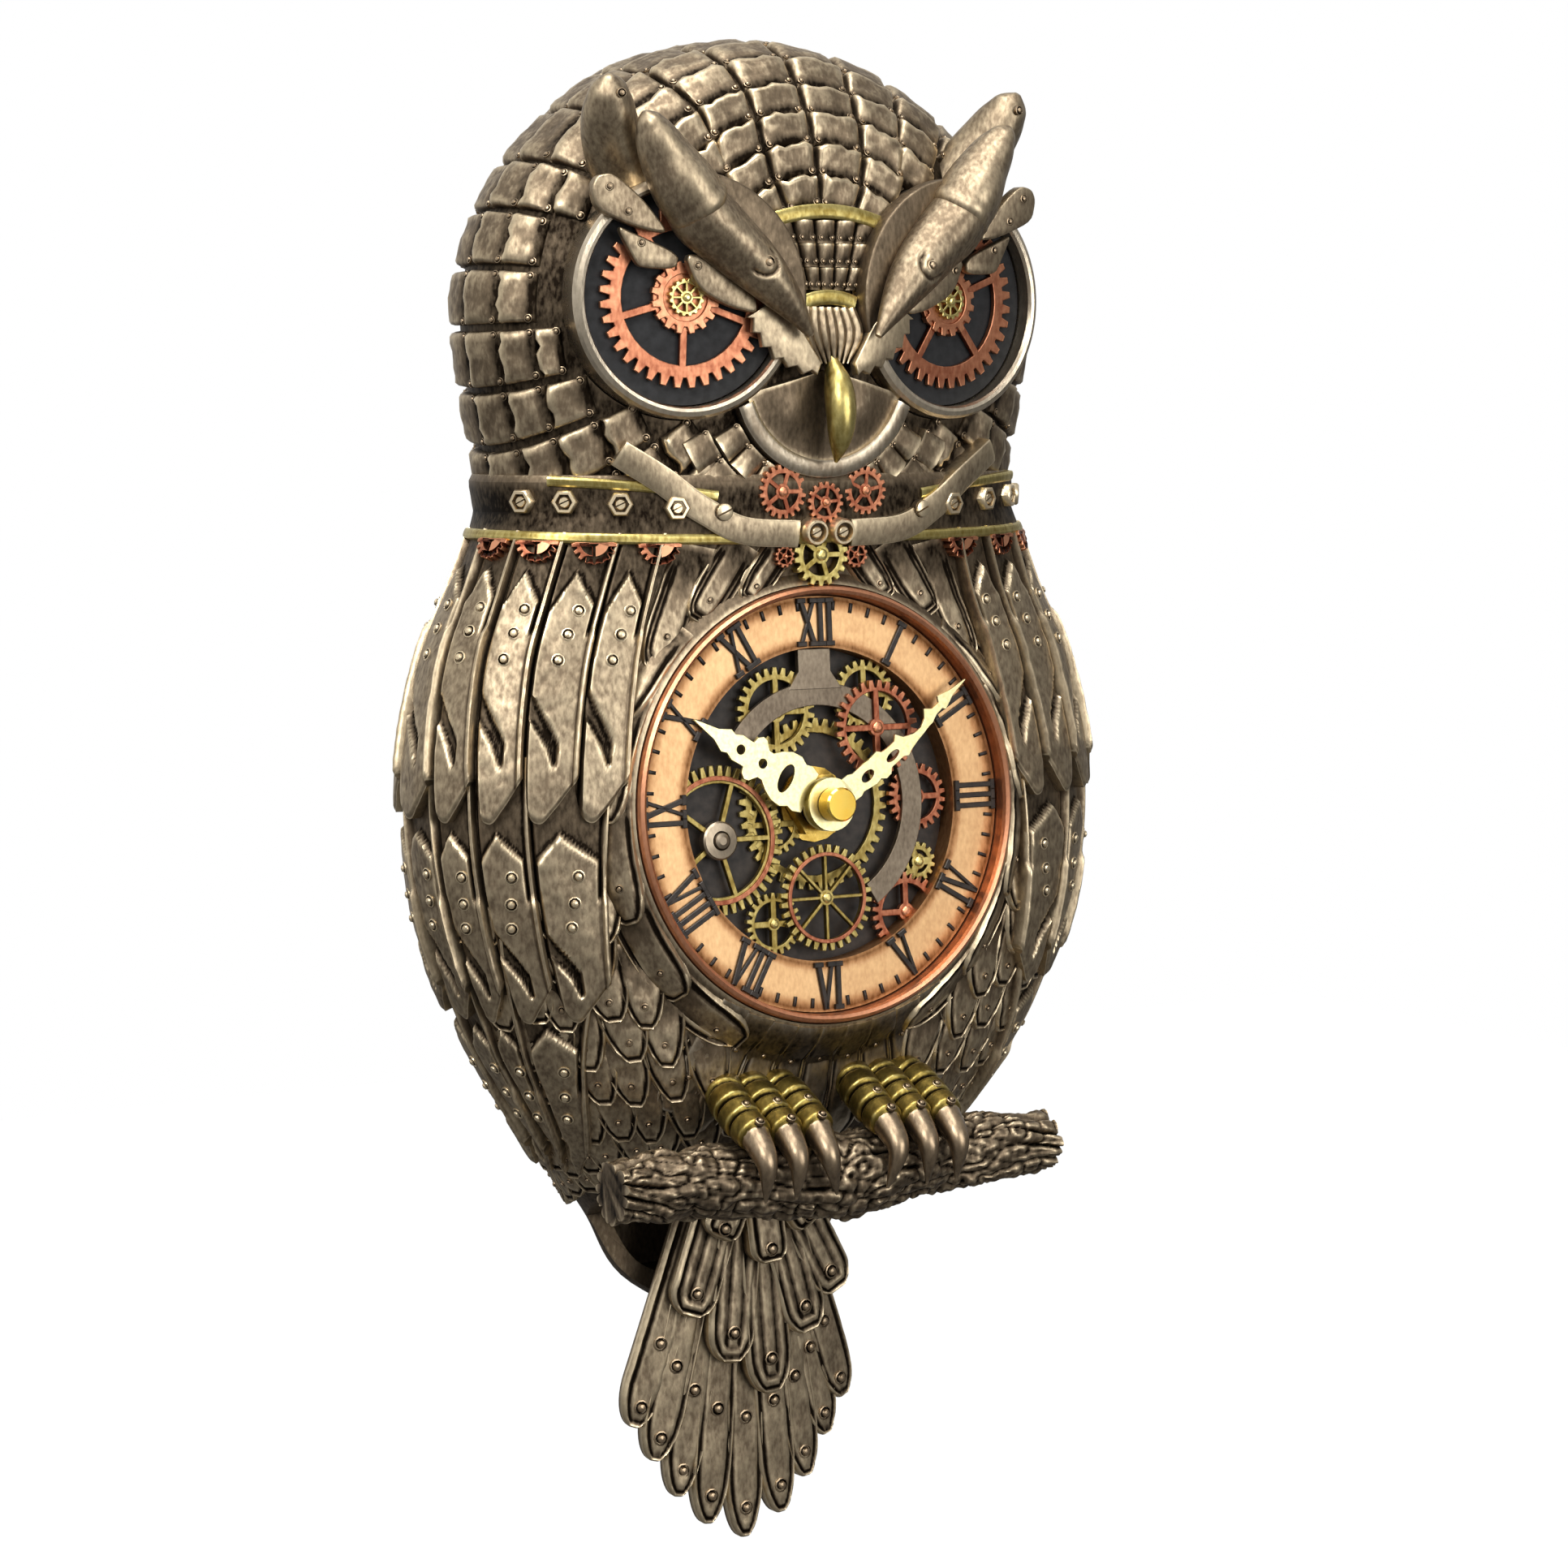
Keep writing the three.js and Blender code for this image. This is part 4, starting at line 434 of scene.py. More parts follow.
def studs(name, stud, places, spins, sizes, material, rides):
    """One piece made of copies of a stud, through the node group."""
    mesh = bpy.data.meshes.new(name)
    mesh.from_pydata(np.asarray(places, float) * 0.001, [], [])
    mesh.attributes.new("spin", "FLOAT_VECTOR", "POINT").data.foreach_set(
        "vector", np.asarray(spins, np.float32).reshape(-1))
    mesh.attributes.new("size", "FLOAT", "POINT").data.foreach_set("value", np.asarray(sizes, np.float32))
    carrier = bpy.data.objects.new(name + "_points", mesh)
    bpy.context.scene.collection.objects.link(carrier)
    source = bpy.data.objects.new("stud", stud)
    bpy.context.scene.collection.objects.link(source)
    tree = stud_tree()
    modifier = carrier.modifiers.new("studs", "NODES")
    values = {"Stud": source, "Size": 1.0, "Finish": bpy.data.materials[material]}
    modifier.node_group = tree
    for item in tree.interface.items_tree:
        if item.in_out == "INPUT" and item.name in values:
            modifier[item.identifier] = values[item.name]
    grown = bpy.data.meshes.new_from_object(carrier.evaluated_get(bpy.context.evaluated_depsgraph_get()))
    grown.name = name
    bpy.data.objects.remove(carrier)
    bpy.data.objects.remove(source)
    return finished(name, grown, [material], rides)


def spin_to(aim, up=(0.0, 0.0, 1.0)):
    """Euler turn that points a stud's z along aim."""
    z = Vector(aim).normalized()
    x = Vector(up).cross(z)
    x = x.normalized() if x.length > 1e-4 else Vector((1, 0, 0))
    y = z.cross(x)
    return tuple(Matrix((x, y, z)).transposed().to_euler())


def linear(code):
    """Linear colour of an sRGB hex code."""
    parts = [int(code[i:i + 2], 16) / 255 for i in (1, 3, 5)]
    return [c / 12.92 if c <= 0.04045 else ((c + 0.055) / 1.055) ** 2.4 for c in parts] + [1.0]


def node(tree, kind, links=(), **values):
    """Adds a node, sets its properties and inputs and links its inputs to other nodes' outputs."""
    made = tree.nodes.new(kind)
    for key, value in values.items():
        if hasattr(made, key):
            setattr(made, key, value)
        else:
            made.inputs[key.replace("_", " ")].default_value = value
    for entry, output in links:
        tree.links.new(output, made.inputs[entry])
    return made


def grained(name, grain, stretch):
    """A new material, its place on the object, and a grain of so many millimetres that may be drawn out."""
    material = bpy.data.materials.new(name)
    material.use_nodes = True
    tree = material.node_tree
    place = node(tree, "ShaderNodeTexCoord").outputs["Object"]
    drawn = node(tree, "ShaderNodeMapping", [("Vector", place)], Scale=stretch).outputs["Vector"]
    # Real powder, brush marks and moulding grain are finer than these and would not show in the render
    fine = node(tree, "ShaderNodeTexNoise", [("Vector", drawn)], Scale=1000 / grain, Detail=3.0)
    return material, place, fine.outputs["Fac"]


def coated(material, metal, amount, colours, gloss, height, relief, depth):
    """Colour and roughness that follow an amount, and a bump that follows a height."""
    tree = material.node_tree
    shader = tree.nodes["Principled BSDF"]
    ramp = node(tree, "ShaderNodeValToRGB", [("Fac", amount)])
    first, *between, last = colours
    for stop, (position, colour) in zip(ramp.color_ramp.elements, (first, last)):
        stop.position, stop.color = position, colour
    for position, colour in between:
        ramp.color_ramp.elements.new(position).color = colour
    low, high, matt, shine = gloss
    rough = node(tree, "ShaderNodeMapRange", [("Value", amount)], From_Min=low, From_Max=high,
                 To_Min=matt, To_Max=shine)
    bump = node(tree, "ShaderNodeBump", [("Height", height)], Strength=relief, Distance=depth)
    shader.inputs["Metallic"].default_value = metal
    for output, entry in ((ramp.outputs["Color"], "Base Color"), (rough.outputs["Result"], "Roughness"),
                          (bump.outputs["Normal"], "Normal")):
        tree.links.new(output, shader.inputs[entry])


def antiqued_and_shaded(name, recess, face, edge, rough, grain=0.9, relief=0.12):
    """Cast metal with dark wash and painted shade in its corners and bright rubbed edges with painted
    highlights, read from the wear and painted shading.
    """
    material, place, fine = grained(name, grain, (1, 1, 0.5))
    tree = material.node_tree
    wear_and_shade = node(tree, "ShaderNodeAttribute", attribute_name="wear_and_shade").outputs["Fac"]
    broad = node(tree, "ShaderNodeTexNoise", [("Vector", place)], Scale=1000 / CLOUD, Detail=2.0)
    # Grain and clouds each shift the wear and painted shading by so much, half of it up and half down
    shifts = []
    for noise, strength in ((fine, 0.3), (broad.outputs["Fac"], 0.18)):
        shift = node(tree, "ShaderNodeMath", [(0, noise)], operation="MULTIPLY_ADD")
        shift.inputs[1].default_value, shift.inputs[2].default_value = strength, -strength / 2
        shifts.append(shift.outputs[0])
    mottled = node(tree, "ShaderNodeMath", list(enumerate(shifts)), operation="ADD").outputs[0]
    amount = node(tree, "ShaderNodeMath", [(0, wear_and_shade), (1, mottled)], operation="ADD").outputs[0]
    colours = [(0.25, linear(recess)), (0.5, face), (0.8, linear(edge))]
    coated(material, 1.0, amount, colours, (0.2, 0.8, *rough), fine, relief, 0.0004)


def tinted(name, dark, light, metal=0.0, rough=0.5, grain=1.5, relief=0.06):
    """A plain finish whose colour and gloss wander a little with a fine grain."""
    material, _, fine = grained(name, grain, (1, 1, 1))
    gloss = (0, 1, rough * 1.25, rough * 0.8)
    coated(material, metal, fine, [(0.3, linear(dark)), (0.7, linear(light))], gloss, fine, relief, 0.0002)
    return material


def make_materials(colours):
    """All the finishes, each with the look it has to give."""
    # Bronze powder resin: near-black brown in the grooves and in painted shade, warm grey-brown faces, pale
    # brass on rubbed edges and painted highlights
    antiqued_and_shaded("Antiqued bronze", "#1A140E", colours.bronze, "#DBC8A6", rough=(0.62, 0.36))
    # Darker bronze of rivets and claws, glossier than the faces round them
    antiqued_and_shaded("Dark bronze", "#130F0C", colours.dark_bronze, "#A08C72", rough=(0.52, 0.33))
    # Paler bronze of eye rings and chin, rubbed bright; on the belly it is painted light that brightens
    # planks lying in shade
    antiqued_and_shaded("Pale bronze", "#2A241E", colours.pale_bronze, "#DACCB4", rough=(0.5, 0.27))
    # Dry-brushed gold paint: yellow on raised faces, olive brown in the joints
    antiqued_and_shaded("Rubbed gold", "#1E170B", colours.gold, "#E8D88F", rough=(0.5, 0.28))
    # Copper paint: rose on raised faces, dark red-brown in the joints
    antiqued_and_shaded("Rubbed copper", "#24120C", colours.copper, "#DB9A74", rough=(0.55, 0.36))
    # Old gold of the dial's gears, dull and warm
    antiqued_and_shaded("Old gold", "#1F180B", colours.old_gold, "#DCCB86", rough=(0.55, 0.32))
    # Dial's chapter ring: peach gold, burnt brown toward its edges
    antiqued_and_shaded("Peach gold dial", "#6A4426", colours.dial, "#DFB786", rough=(0.55, 0.4), grain=0.8,
             relief=0.03)
    # Grey bronze of the dial's bridge, finely brushed
    antiqued_and_shaded("Grey bronze", "#1D1814", colours.grey_bronze, "#9A8C78", rough=(0.5, 0.38), grain=0.7,
             relief=0.05)
    # Brown-black ground under the dial's gears
    tinted("Brown ground", "#17110B", "#2C2117", rough=0.6, grain=2.0)
    # Flat black ground behind the eyes' gears
    tinted("Black ground", "#050506", "#0F0F11", rough=0.7, grain=2.0)
    # Dark enamel of the numerals, slightly brown
    tinted("Numeral enamel", "#15100C", "#2C231B", metal=0.4, rough=0.42)
    # Champagne anodised hands: pale and evenly bright
    tinted("Champagne aluminium", "#E3D697", "#F4E9B8", metal=1.0, rough=0.3, grain=0.8, relief=0.02)
    # Polished gold cap: mirror-like yellow
    tinted("Polished gold", "#E2B749", "#F2CE66", metal=1.0, rough=0.14, grain=4.0, relief=0.01)
    # Zinc-plated steel: cool grey with a soft shine
    tinted("Zinc steel", "#8E9196", "#B4B7BB", metal=1.0, rough=0.32, grain=1.0)
    # Moulded black ABS of the movement's case: dark with a fine matt grain
    tinted("Black plastic", "#131314", "#202022", rough=0.48, grain=0.9, relief=0.1)
    # Moulded acetal wheels: milky white
    tinted("White acetal", "#D9D8D2", "#EFEEE9", rough=0.4)
    # Rubber washer: matt near-black
    tinted("Rubber", "#17171A", "#232326", rough=0.75)
    # Circuit board: green lacquer
    tinted("Circuit board", "#1F4A33", "#2E6447", rough=0.45)
    # Battery wrap: plain printed foil with no words
    tinted("Cell jacket", "#3A5A7A", "#4A6C8E", metal=0.4, rough=0.3)
    # Turned brass: clean bright yellow
    tinted("Brass", "#A88638", "#D2B25E", metal=1.0, rough=0.28)


def rivet():
    """A domed rivet in a sunk ring, in units of its radius."""
    build = Build()
    sides = 10
    profile = [(0.1, 0.8), (0.55, 0.66), (0.78, 0.12), (0.9, 0.04), (1.02, 0.26), (1.2, 0.2), (1.26, -0.7)]
    # Painted highlight on the dome's top, wash and painted shade in the sunk ring round it
    wear_and_shade = (0.3, 0.25, -0.3, -0.5, 0.2, 0.15, -0.4)
    build.lathe(profile, FLAT, sides, np.repeat(wear_and_shade, sides))
    return build


def slotted(build, radius, low, high):
    """A screw head cut in two by its slot."""
    for side in SIDES:
        turns = np.radians(np.linspace(8, 172, 9) * side + 25)
        edge = np.stack([radius * np.cos(turns), radius * np.sin(turns)], 1)
        points = [(*xy, z) for z, share in ((low, 1), (high - 0.1, 1), (high, 0.8)) for xy in edge * share]
        build.add(points, barrel(3, len(edge)), bias=0.2)


def nut(profile, sides, bed, top):
    """A nut turned to a profile, with a slotted screw on a bed inside it, in units of its radius."""
    build = Build()
    bore = profile[-1][0]
    build.lathe(profile, FLAT, sides, bias=0.15, ring=True)
    # Darker inside the bore, as wash and painted shade
    build.lathe([(bore, -0.5), (bore, bed)], FLAT, 12, bias=-0.5)
    slotted(build, 0.44, -0.2, top)
    return build


def hexagon_nut():
    """A hexagon nut."""
    return nut([(1, -0.6), (1, 0.42), (0.86, 0.56), (0.66, 0.56), (0.6, 0.1), (0.6, -0.6)], 6, 0.12, 0.46)


def round_nut():
    """A round nut."""
    return nut([(1, -0.6), (1, 0.5), (0.88, 0.72), (0.72, 0.72), (0.62, 0.3), (0.62, -0.6)], 20, 0.3, 0.62)


def screw_head():
    """A slotted screw on its seat, in units of its radius."""
    build = Build()
    # Darker seat under the head, as wash and painted shade
    build.lathe([(1, -0.6), (1, 0.1)], FLAT, 16, bias=-0.4)
    slotted(build, 0.92, 0, 0.5)
    return build


def tick():
    """A short raised stroke, in millimetres."""
    build = Build()
    bar(build, FLAT, (0, -1.1), (0, 1.1), 0.8, -0.2, 0.45)
    return build


def bar(build, place, start, end, width, back, face, finish=0):
    """A straight stroke with its top edges eased."""
    ease = 0.15
    start, end = np.array(start, float), np.array(end, float)
    ahead = (end - start) / np.linalg.norm(end - start)
    aside = np.array((-ahead[1], ahead[0]))
    points = []
    for level, inset in ((back, 0.0), (face - ease, 0.0), (face, ease)):
        for at_end, across in ((0, -1), (1, -1), (1, 1), (0, 1)):
            at = end - ahead * inset if at_end else start + ahead * inset
            points.append((*(at + aside * across * (width / 2 - inset)), level))
    build.add(points, barrel(3, 4), 0, finish, place)


class Studs:
    """Places, turns and sizes of the studs on a piece."""

    def __init__(self):
        self.places, self.spins, self.sizes = [], [], []

    def add(self, place, aim, size, up=(0.0, 0.0, 1.0)):
        """A stud at a place that points along aim."""
        self.places.append(place)
        self.spins.append(spin_to(aim, up))
        self.sizes.append(size)

    def on(self, surface, u, v, lift, size):
        """A stud on a surface, raised by lift."""
        p, n = outward(surface, np.array([u], float), np.array([v], float))
        self.add(p[0] + n[0] * lift, n[0], size)

    def piece(self, name, material, rides, slot=None, stud=rivet):
        """Hands the studs in as a piece."""
        return studs(name, stud().worn_and_shaded(name), self.places, self.spins, self.sizes, material, rides)


def prism(outline, low, high):
    """A closed bar along x with an outline in y and z."""
    build = Build()
    build.add([(x, y, z) for x in (low, high) for y, z in outline], barrel(2, len(outline)))
    return build


def lofted(rows, turns, grow, back):
    """A closed body of horizontal sections; where back isn't 0, each runs on to that depth behind."""
    build = Build()
    loop = body(turns[None, :], rows[:, None], grow)
    if back:
        ends = loop[:, [-1, 0]].copy()
        ends[..., 1] = back
        loop = np.concatenate([loop, ends], 1)
    build.add(loop, barrel(*loop.shape[:2]))
    return build


def eye_place(side):
    """Place of an eye, which looks a little outward."""
    x, y, z = EYE_CENTRE
    toe = EYE_TOE * side
    return (np.array((x * side, y, z)), np.array((math.cos(toe), math.sin(toe), 0)),
            np.array((0.0, 0.0, 1.0)), np.array((math.sin(toe), -math.cos(toe), 0)))


def head_plates(build, rivets, sizes):
    """Rows of hammered plates that run back from the face, each tip over the root of the next."""
    # Edges of the rows in degrees round the line of sight, and rings of the plates in degrees away from it
    edges = [0, 16, 31, 46, 61, 72, 83, 94, 105, 115, 126, 138, 151]
    dome = [21.5, 28, 34.5, 41, 47.5, 55, 63, 72, 81, 89.5]
    cheek = [37, 43.5, 50.5, 57.5, 64, 72, 81, 89.5]
    s = np.concatenate([[0, 0.03], np.linspace(0.09, 0.9, 10), [0.965, 1]])[:, None]
    w = np.array([-1, -0.95, -0.84, -0.6, -0.3, 0, 0.3, 0.6, 0.84, 0.95, 1])[None, :]
    inset = np.minimum(1 - np.abs(w), 0.22) / 0.22
    round_over = 0.62 * np.sqrt(1 - (1 - inset) ** 2) + 0.38
    ends = smooth(0, 0.05, s) * (1 - 0.5 * smooth(0.94, 1.0, s))
    # Painted shade at each plate's root, under the tip before it, and on its rounded sides; painted highlight
    # toward its raised tip
    shade = -0.34 + 0.34 * smooth(0.05, 0.4, s) * round_over + 0.12 * smooth(0.8, 1, s)
    reach = np.linspace(18, 91, 147)
    seed = 0
    for side in SIDES:
        eye = eye_place(side)[0]
        for low, high in zip(edges, edges[1:]):
            middle, half = (low + high) / 2, (high - low) / 2
            line = head(np.full(reach.shape, side * middle), reach)
            covered = (np.hypot(line[:, 0] - eye[0], line[:, 2] - eye[2]) < 27.6) & (reach < 66)
            clear = reach[covered].max() if covered.any() else 0
            rings = dome if high <= 61 else cheek
            for near, far in zip(rings, rings[1:]):
                seed += 1
                near = max(near, clear)
                if far - near < 3.2 or (low >= 31 and high <= 61 and far < 36):
                    continue
                theta = near + s * (far - near)
                spread = 1 + 0.42 * (1 - smooth(25, 50, theta)) * (1 - smooth(31, 61, high))
                gap = sizes.groove / 1.6 / np.sin(np.radians(theta))
                phi = side * ((middle + w * half) * spread - np.sign(w) * gap * np.abs(w))
                wave = np.array([(0.22 * math.sin(seed * 2.1 + 5 * a) + 0.16 * math.sin(seed * 3.7 + 11 * a))
                                 for a in w[0]])
                theta = theta + s**3 * wave * 1.5
                p = head(phi, theta)
                if p[..., 2].min() < SEAM - 4:
                    continue
                lift = (sizes.plate_rise * (0.24 + 0.76 * s**0.8) * round_over * (0.3 + 0.7 * ends)
                        + hammered(p, sizes.hammer, seed) * smooth(0, 0.2, s) * inset - 1.9)
                build.relief(head, phi, theta, lift, 3.2, shade, floor=SEAM)
                for edge in (2, 8):
                    spot, aim = place_on(p, lift, 3, edge)
                    if spot[2] > SEAM:
                        rivets.add(spot, aim, 0.75)


def place_on(p, lift, row, col):
    """Point and normal of a raised grid at one of its nodes."""
    du, dv = p[row + 1, col] - p[row - 1, col], p[row, col + 1] - p[row, col - 1]
    n = np.cross(du, dv)
    n /= np.linalg.norm(n)
    n *= np.sign(np.dot(n, p[row, col] - np.array((0, 0, min(p[row, col, 2], -15)))))
    return p[row, col] + n * (lift[row, col] - 0.1), n


def head_shell():
    """Hollow head with eye sockets, the hanger's recess and its screw holes."""
    block = Build()
    theta = np.linspace(2, 90, 56)[:, None]
    phi = np.linspace(0, 360, 160, endpoint=False)[None, :]
    p, n = outward(head, phi + 0 * theta, theta + 0 * phi)
    skin = p - n * 2.0
    skin[-1, :, 1] = 0
    block.add(skin, barrel(*skin.shape[:2]))
    tools = [lofted(np.linspace(-19, -68, 14), np.linspace(-125, 125, 61), -12.3, 3)]
    for side in SIDES:
        socket, hole = Build(), Build()
        socket.lathe([(26.5, -6.3), (26.5, 30)], eye_place(side), 64)
        hole.lathe([(1.9, -3), (1.9, 9)], (np.array((7.5 * side, 0.0, -6.0)), *UPRIGHT), 16)
        tools += [socket, hole]
    # Below the seam, the hanger plate's bed, and the room for the nail's head
    tools.append(prism([(5, -59.8), (-90, -59.8), (-90, -90), (5, -90)], -95, 95))
    tools.append(prism([(3, -12.3), (-1.8, -12.3), (-1.8, 21.3), (3, 21.3)], -12.3, 12.3))
    tools.append(prism([(3, 2.5), (-8, 2.5), (-8, 18.8), (3, 18.8)], -6.5, 6.5))
    return carved(block, *tools)


def small_feather(build, rivets, root, tip, width, sizes, lift, lines, seed, rivet_size=0.8, surface=body,
                  under=1.5, square=2.4, start=0.55, at=(0.72,)):
    """A rounded feather from root to tip on a surface, with engraved lines at distances from its edge."""
    bend = 0.6 + 0.397 * np.sin(np.linspace(0, np.pi / 2, 18)[1:])
    s = np.concatenate([np.linspace(0, 0.6, 12), bend])[:, None]
    w = np.sin(np.linspace(-np.pi / 2, np.pi / 2, 23))[None, :]
    root, tip = np.array(root, float), np.array(tip, float)
    # Millimetres to one unit of the surface's first direction
    scale = np.linalg.norm(surface(root[:1] + 0.5, root[1:])[0] - surface(root[:1], root[1:])[0]) / 0.5
    run = (tip - root) * np.array((scale, 1.0))
    length = np.hypot(*run)
    ahead = run / length
    rounding = (1 - np.clip((s - start) / (1 - start), 0, 1) ** square) ** (1 / square)
    half = width / 2 * np.where(s > start, rounding, 1)
    u = root[0] + (ahead[0] * s * length - ahead[1] * w * half) / scale
    v = root[1] + ahead[1] * s * length + ahead[0] * w * half
    p = surface(u, v)
    edge = np.minimum(half * (1 - np.abs(w)) + 0 * s, (1 - s) * length + 0.02)
    cut = sum(np.exp(-((edge - line) / 0.42) ** 2) for line in lines) * smooth(0.12, 0.3, s)
    top = (lift[0] + (lift[1] - lift[0]) * s - 1.1 * (1 - smooth(0, 0.8, edge)) - 0.6 * cut
           + hammered(p, sizes.hammer * 0.6, seed))
    # Painted shade at the feather's root, wash and painted shade in its engraved lines, painted highlight on
    # its rounded border
    shade = -0.2 + 0.26 * smooth(0.05, 0.6, s) + 0.14 * smooth(0.9, 0.3, edge) - 0.36 * cut
    build.relief(surface, u, v, top, under, shade)
    for share in at:
        row = int(np.argmin(np.abs(s[:, 0] - share)))
        rivets.add(*place_on(p, top, row, w.shape[1] // 2), rivet_size)


def wing_feather(build, rivets, side, lines, tops, tips, fall, tier, sizes, seed):
    """One long wing feather: a rib down its front edge and a notched, slotted plate beside it."""
    (front_top, front_low), (rear_top, rear_low) = lines
    top, peak, bottom = tops
    v = np.concatenate([np.linspace(0, 0.9, 66), np.linspace(0.91, 1, 14)])[:, None]
    w = np.concatenate([[0, 0.02, 0.04, 0.065, 0.09, 0.115, 0.14, 0.17], np.linspace(0.2, 0.9, 20),
                        [0.93, 0.955, 0.975, 1]])[None, :]
    shares = np.array([0, 0.15, 0.42, 0.72, 0.9, 1])
    end = spline(shares, np.array(tips, float)[:, None], w[0])[:, 0][None, :]
    z = top + v * (end - top)
    share = (z - peak) / (bottom - peak)
    fore = front_top + share * (front_low - front_top)
    rear = rear_top + share * (rear_low - rear_top)
    turn = side * (fore + w * (rear - fore))
    p = body(turn, z)
    span = np.linalg.norm(body(side * rear, z) - body(side * fore, z), axis=-1)
    e = w * span
    rib = smooth(0.0, 0.4, e) * (1 - smooth(0.9, 1.4, e))
    # Plate: it ends at a crest that falls to both sides, and leaves the rib free down to a notch
    crest = np.interp(w, [0.08, 0.6, 0.97], [peak - fall[0], peak, peak - fall[1]]) + 0 * z
    notch = peak - 12.5
    plate = (np.maximum(smooth(1.4, 2.0, e), smooth(0, 3, notch - z)) * smooth(0.1, 0.7, span - 0.5 - e)
             * smooth(0.0, 0.9, crest - z))
    # Slot: a bent stroke in from the rear edge, as millimetres across and a height
    start, wide = peak + 0.53 * (bottom - peak), span.mean()
    stroke = np.array([(1.02 * wide, start + 0.5), (0.6 * wide, start - 6.5), (0.47 * wide, start - 9),
                       (0.42 * wide, start - 13)])
    gap = np.full(z.shape, 99.0)
    for k, (a, b) in enumerate(zip(stroke, stroke[1:])):
        run = b - a
        t = np.clip(((e - a[0]) * run[0] + (z - a[1]) * run[1]) / (run @ run), 0, 1)
        thick = np.interp(k + t, [0, 1, 2, 3], [1.3, 1.05, 0.9, 0.2])
        gap = np.minimum(gap, np.hypot(e - a[0] - t * run[0], z - a[1] - t * run[1]) - thick)
    plate = plate * smooth(-0.2, 0.5, gap)
    foot = smooth(0, 1.3, z - end)
    base = tier[0] + (tier[1] - tier[0]) * np.clip(v * 1.1, 0, 1)
    lift = (base + sizes.feather_rise * plate + 1.5 * rib * (1 - 0.3 * plate) - 0.5 * (1 - foot)
            + hammered(p, sizes.hammer * 0.4, seed) * plate - 1.0 * smooth(0.9, 0.2, span - e))
    # Painted highlights on the raised plate and the rib, and the painted shadow of the next feather's rib
    # along the rear edge
    shade = -0.14 + 0.2 * plate + 0.16 * rib * (1 - plate) - 0.2 * smooth(1.0, 0.2, span - e)
    build.relief(body, turn, z, lift, 1.5, shade)
    for across, down in ((0.4, 9), (0.46, 14), (0.53, 18.6)):
        row = int(np.argmin(np.abs(z[:, 12] - (peak - down))))
        col = int(np.argmin(np.abs(w[0] - across)))
        rivets.add(*place_on(p, lift, row, col), sizes.rivet)


def front(x, z):
    """Point of the owl's front at an x and a height."""
    return body(turn_at(x, z), z)


def rim(angle, reach):
    """Point round the dial, clockwise from its top, at a distance, on the front or its raised rim."""
    a, out = np.radians(angle), np.maximum(reach - 49, 0)
    skin = front(reach * np.sin(a), DIAL_CENTRE[2] + reach * np.cos(a))
    raised = (DIAL_CENTRE + DIAL[1] * (reach * np.sin(a))[..., None]
              + DIAL_UP * (reach * np.cos(a))[..., None]
              + DIAL_OUT * (2.4 - 0.5 * out - 0.07 * out**2)[..., None])
    return np.where((raised[..., 1] < skin[..., 1])[..., None], raised, skin)


def neck(turn, z):
    """Skin at the collar, where the head's and the torso's sections meet."""
    share = smooth(-52, -68, z)[..., None]
    upper, lower = body(turn, np.maximum(z, SEAM + 0.01)), body(turn, np.minimum(z, SEAM - 0.01))
    skin = upper * (1 - share) + lower * share
    skin[..., 2] = z
    return skin


def tail_plane(layer):
    """Surface of one layer of the tail, bowed a little at its sides."""
    return lambda x, z: np.stack([x, -20.4 - 3.5 * layer + 0.003 * x * x, z + 0 * x], -1)


def ribbon(build, surface, path, half, lift, under=1.5, count=40, crown=0.4, bias=0.0, finish=0):
    """A narrow strip along points of a surface, crowned across its width."""
    flow = spline(np.linspace(0, 1, len(path)), path, np.linspace(0, 1, count))
    p, n = outward(surface, flow[:, 0], flow[:, 1])
    across = np.cross(n, np.gradient(p, axis=0))
    across /= np.linalg.norm(across, axis=1, keepdims=True)
    w = np.array([-1, -0.88, -0.55, 0, 0.55, 0.88, 1])
    spread = across[:, None] * (w[None, :] * np.broadcast_to(half, count)[:, None])[..., None]
    rise = n[:, None] * (lift - crown * w**4)[None, :, None]
    build.slab(p[:, None] + spread + rise, p[:, None] + spread - n[:, None] * under, bias, finish)


def rounded(loop, times=2):
    """An outline with its corners cut to curves."""
    loop = np.array(loop, float)
    for _ in range(times):
        after = np.roll(loop, -1, 0)
        loop = np.stack([0.8 * loop + 0.2 * after, 0.2 * loop + 0.8 * after], 1).reshape(-1, 2)
    return loop


def polar(radius, angle, at=(0.0, 0.0)):
    """Point at a radius and an angle round a middle."""
    return at[0] + radius * math.cos(angle), at[1] + radius * math.sin(angle)


def toothed(tip, root, teeth, at=(0.0, 0.0), turn=0.0, part=1.0):
    """Outline of a gear, or of a part of one closed by its chord."""
    flanks = ((0.12, root), (0.3, tip), (0.7, tip), (0.88, root))
    return [polar(radius, turn + (k + share) * 2 * math.pi / teeth, at)
            for k in range(round(teeth * part)) for share, radius in flanks]


def circle(radius, at=(0.0, 0.0), count=32):
    """Outline of a circle."""
    return [polar(radius, 2 * math.pi * k / count, at) for k in range(count)]


def windows(inner, outer, spokes, width, at=(0.0, 0.0), turn=0.0):
    """Openings between the spokes of a wheel."""
    loops = []
    for k in range(spokes):
        loop = []
        for radius, order in ((outer, 1), (inner, -1)):
            trim = math.asin(width / 2 / radius)
            start = turn + 2 * math.pi * k / spokes + trim
            end = turn + 2 * math.pi * (k + 1) / spokes - trim
            loop.extend(polar(radius, a, at) for a in np.linspace(start, end, 8)[::order])
        loops.append(loop)
    return loops


def set_at(place, x, y):
    """A place moved across its own face."""
    return (place[0] + np.array((x, y, 0)) @ np.array(place[1:]), *place[1:])


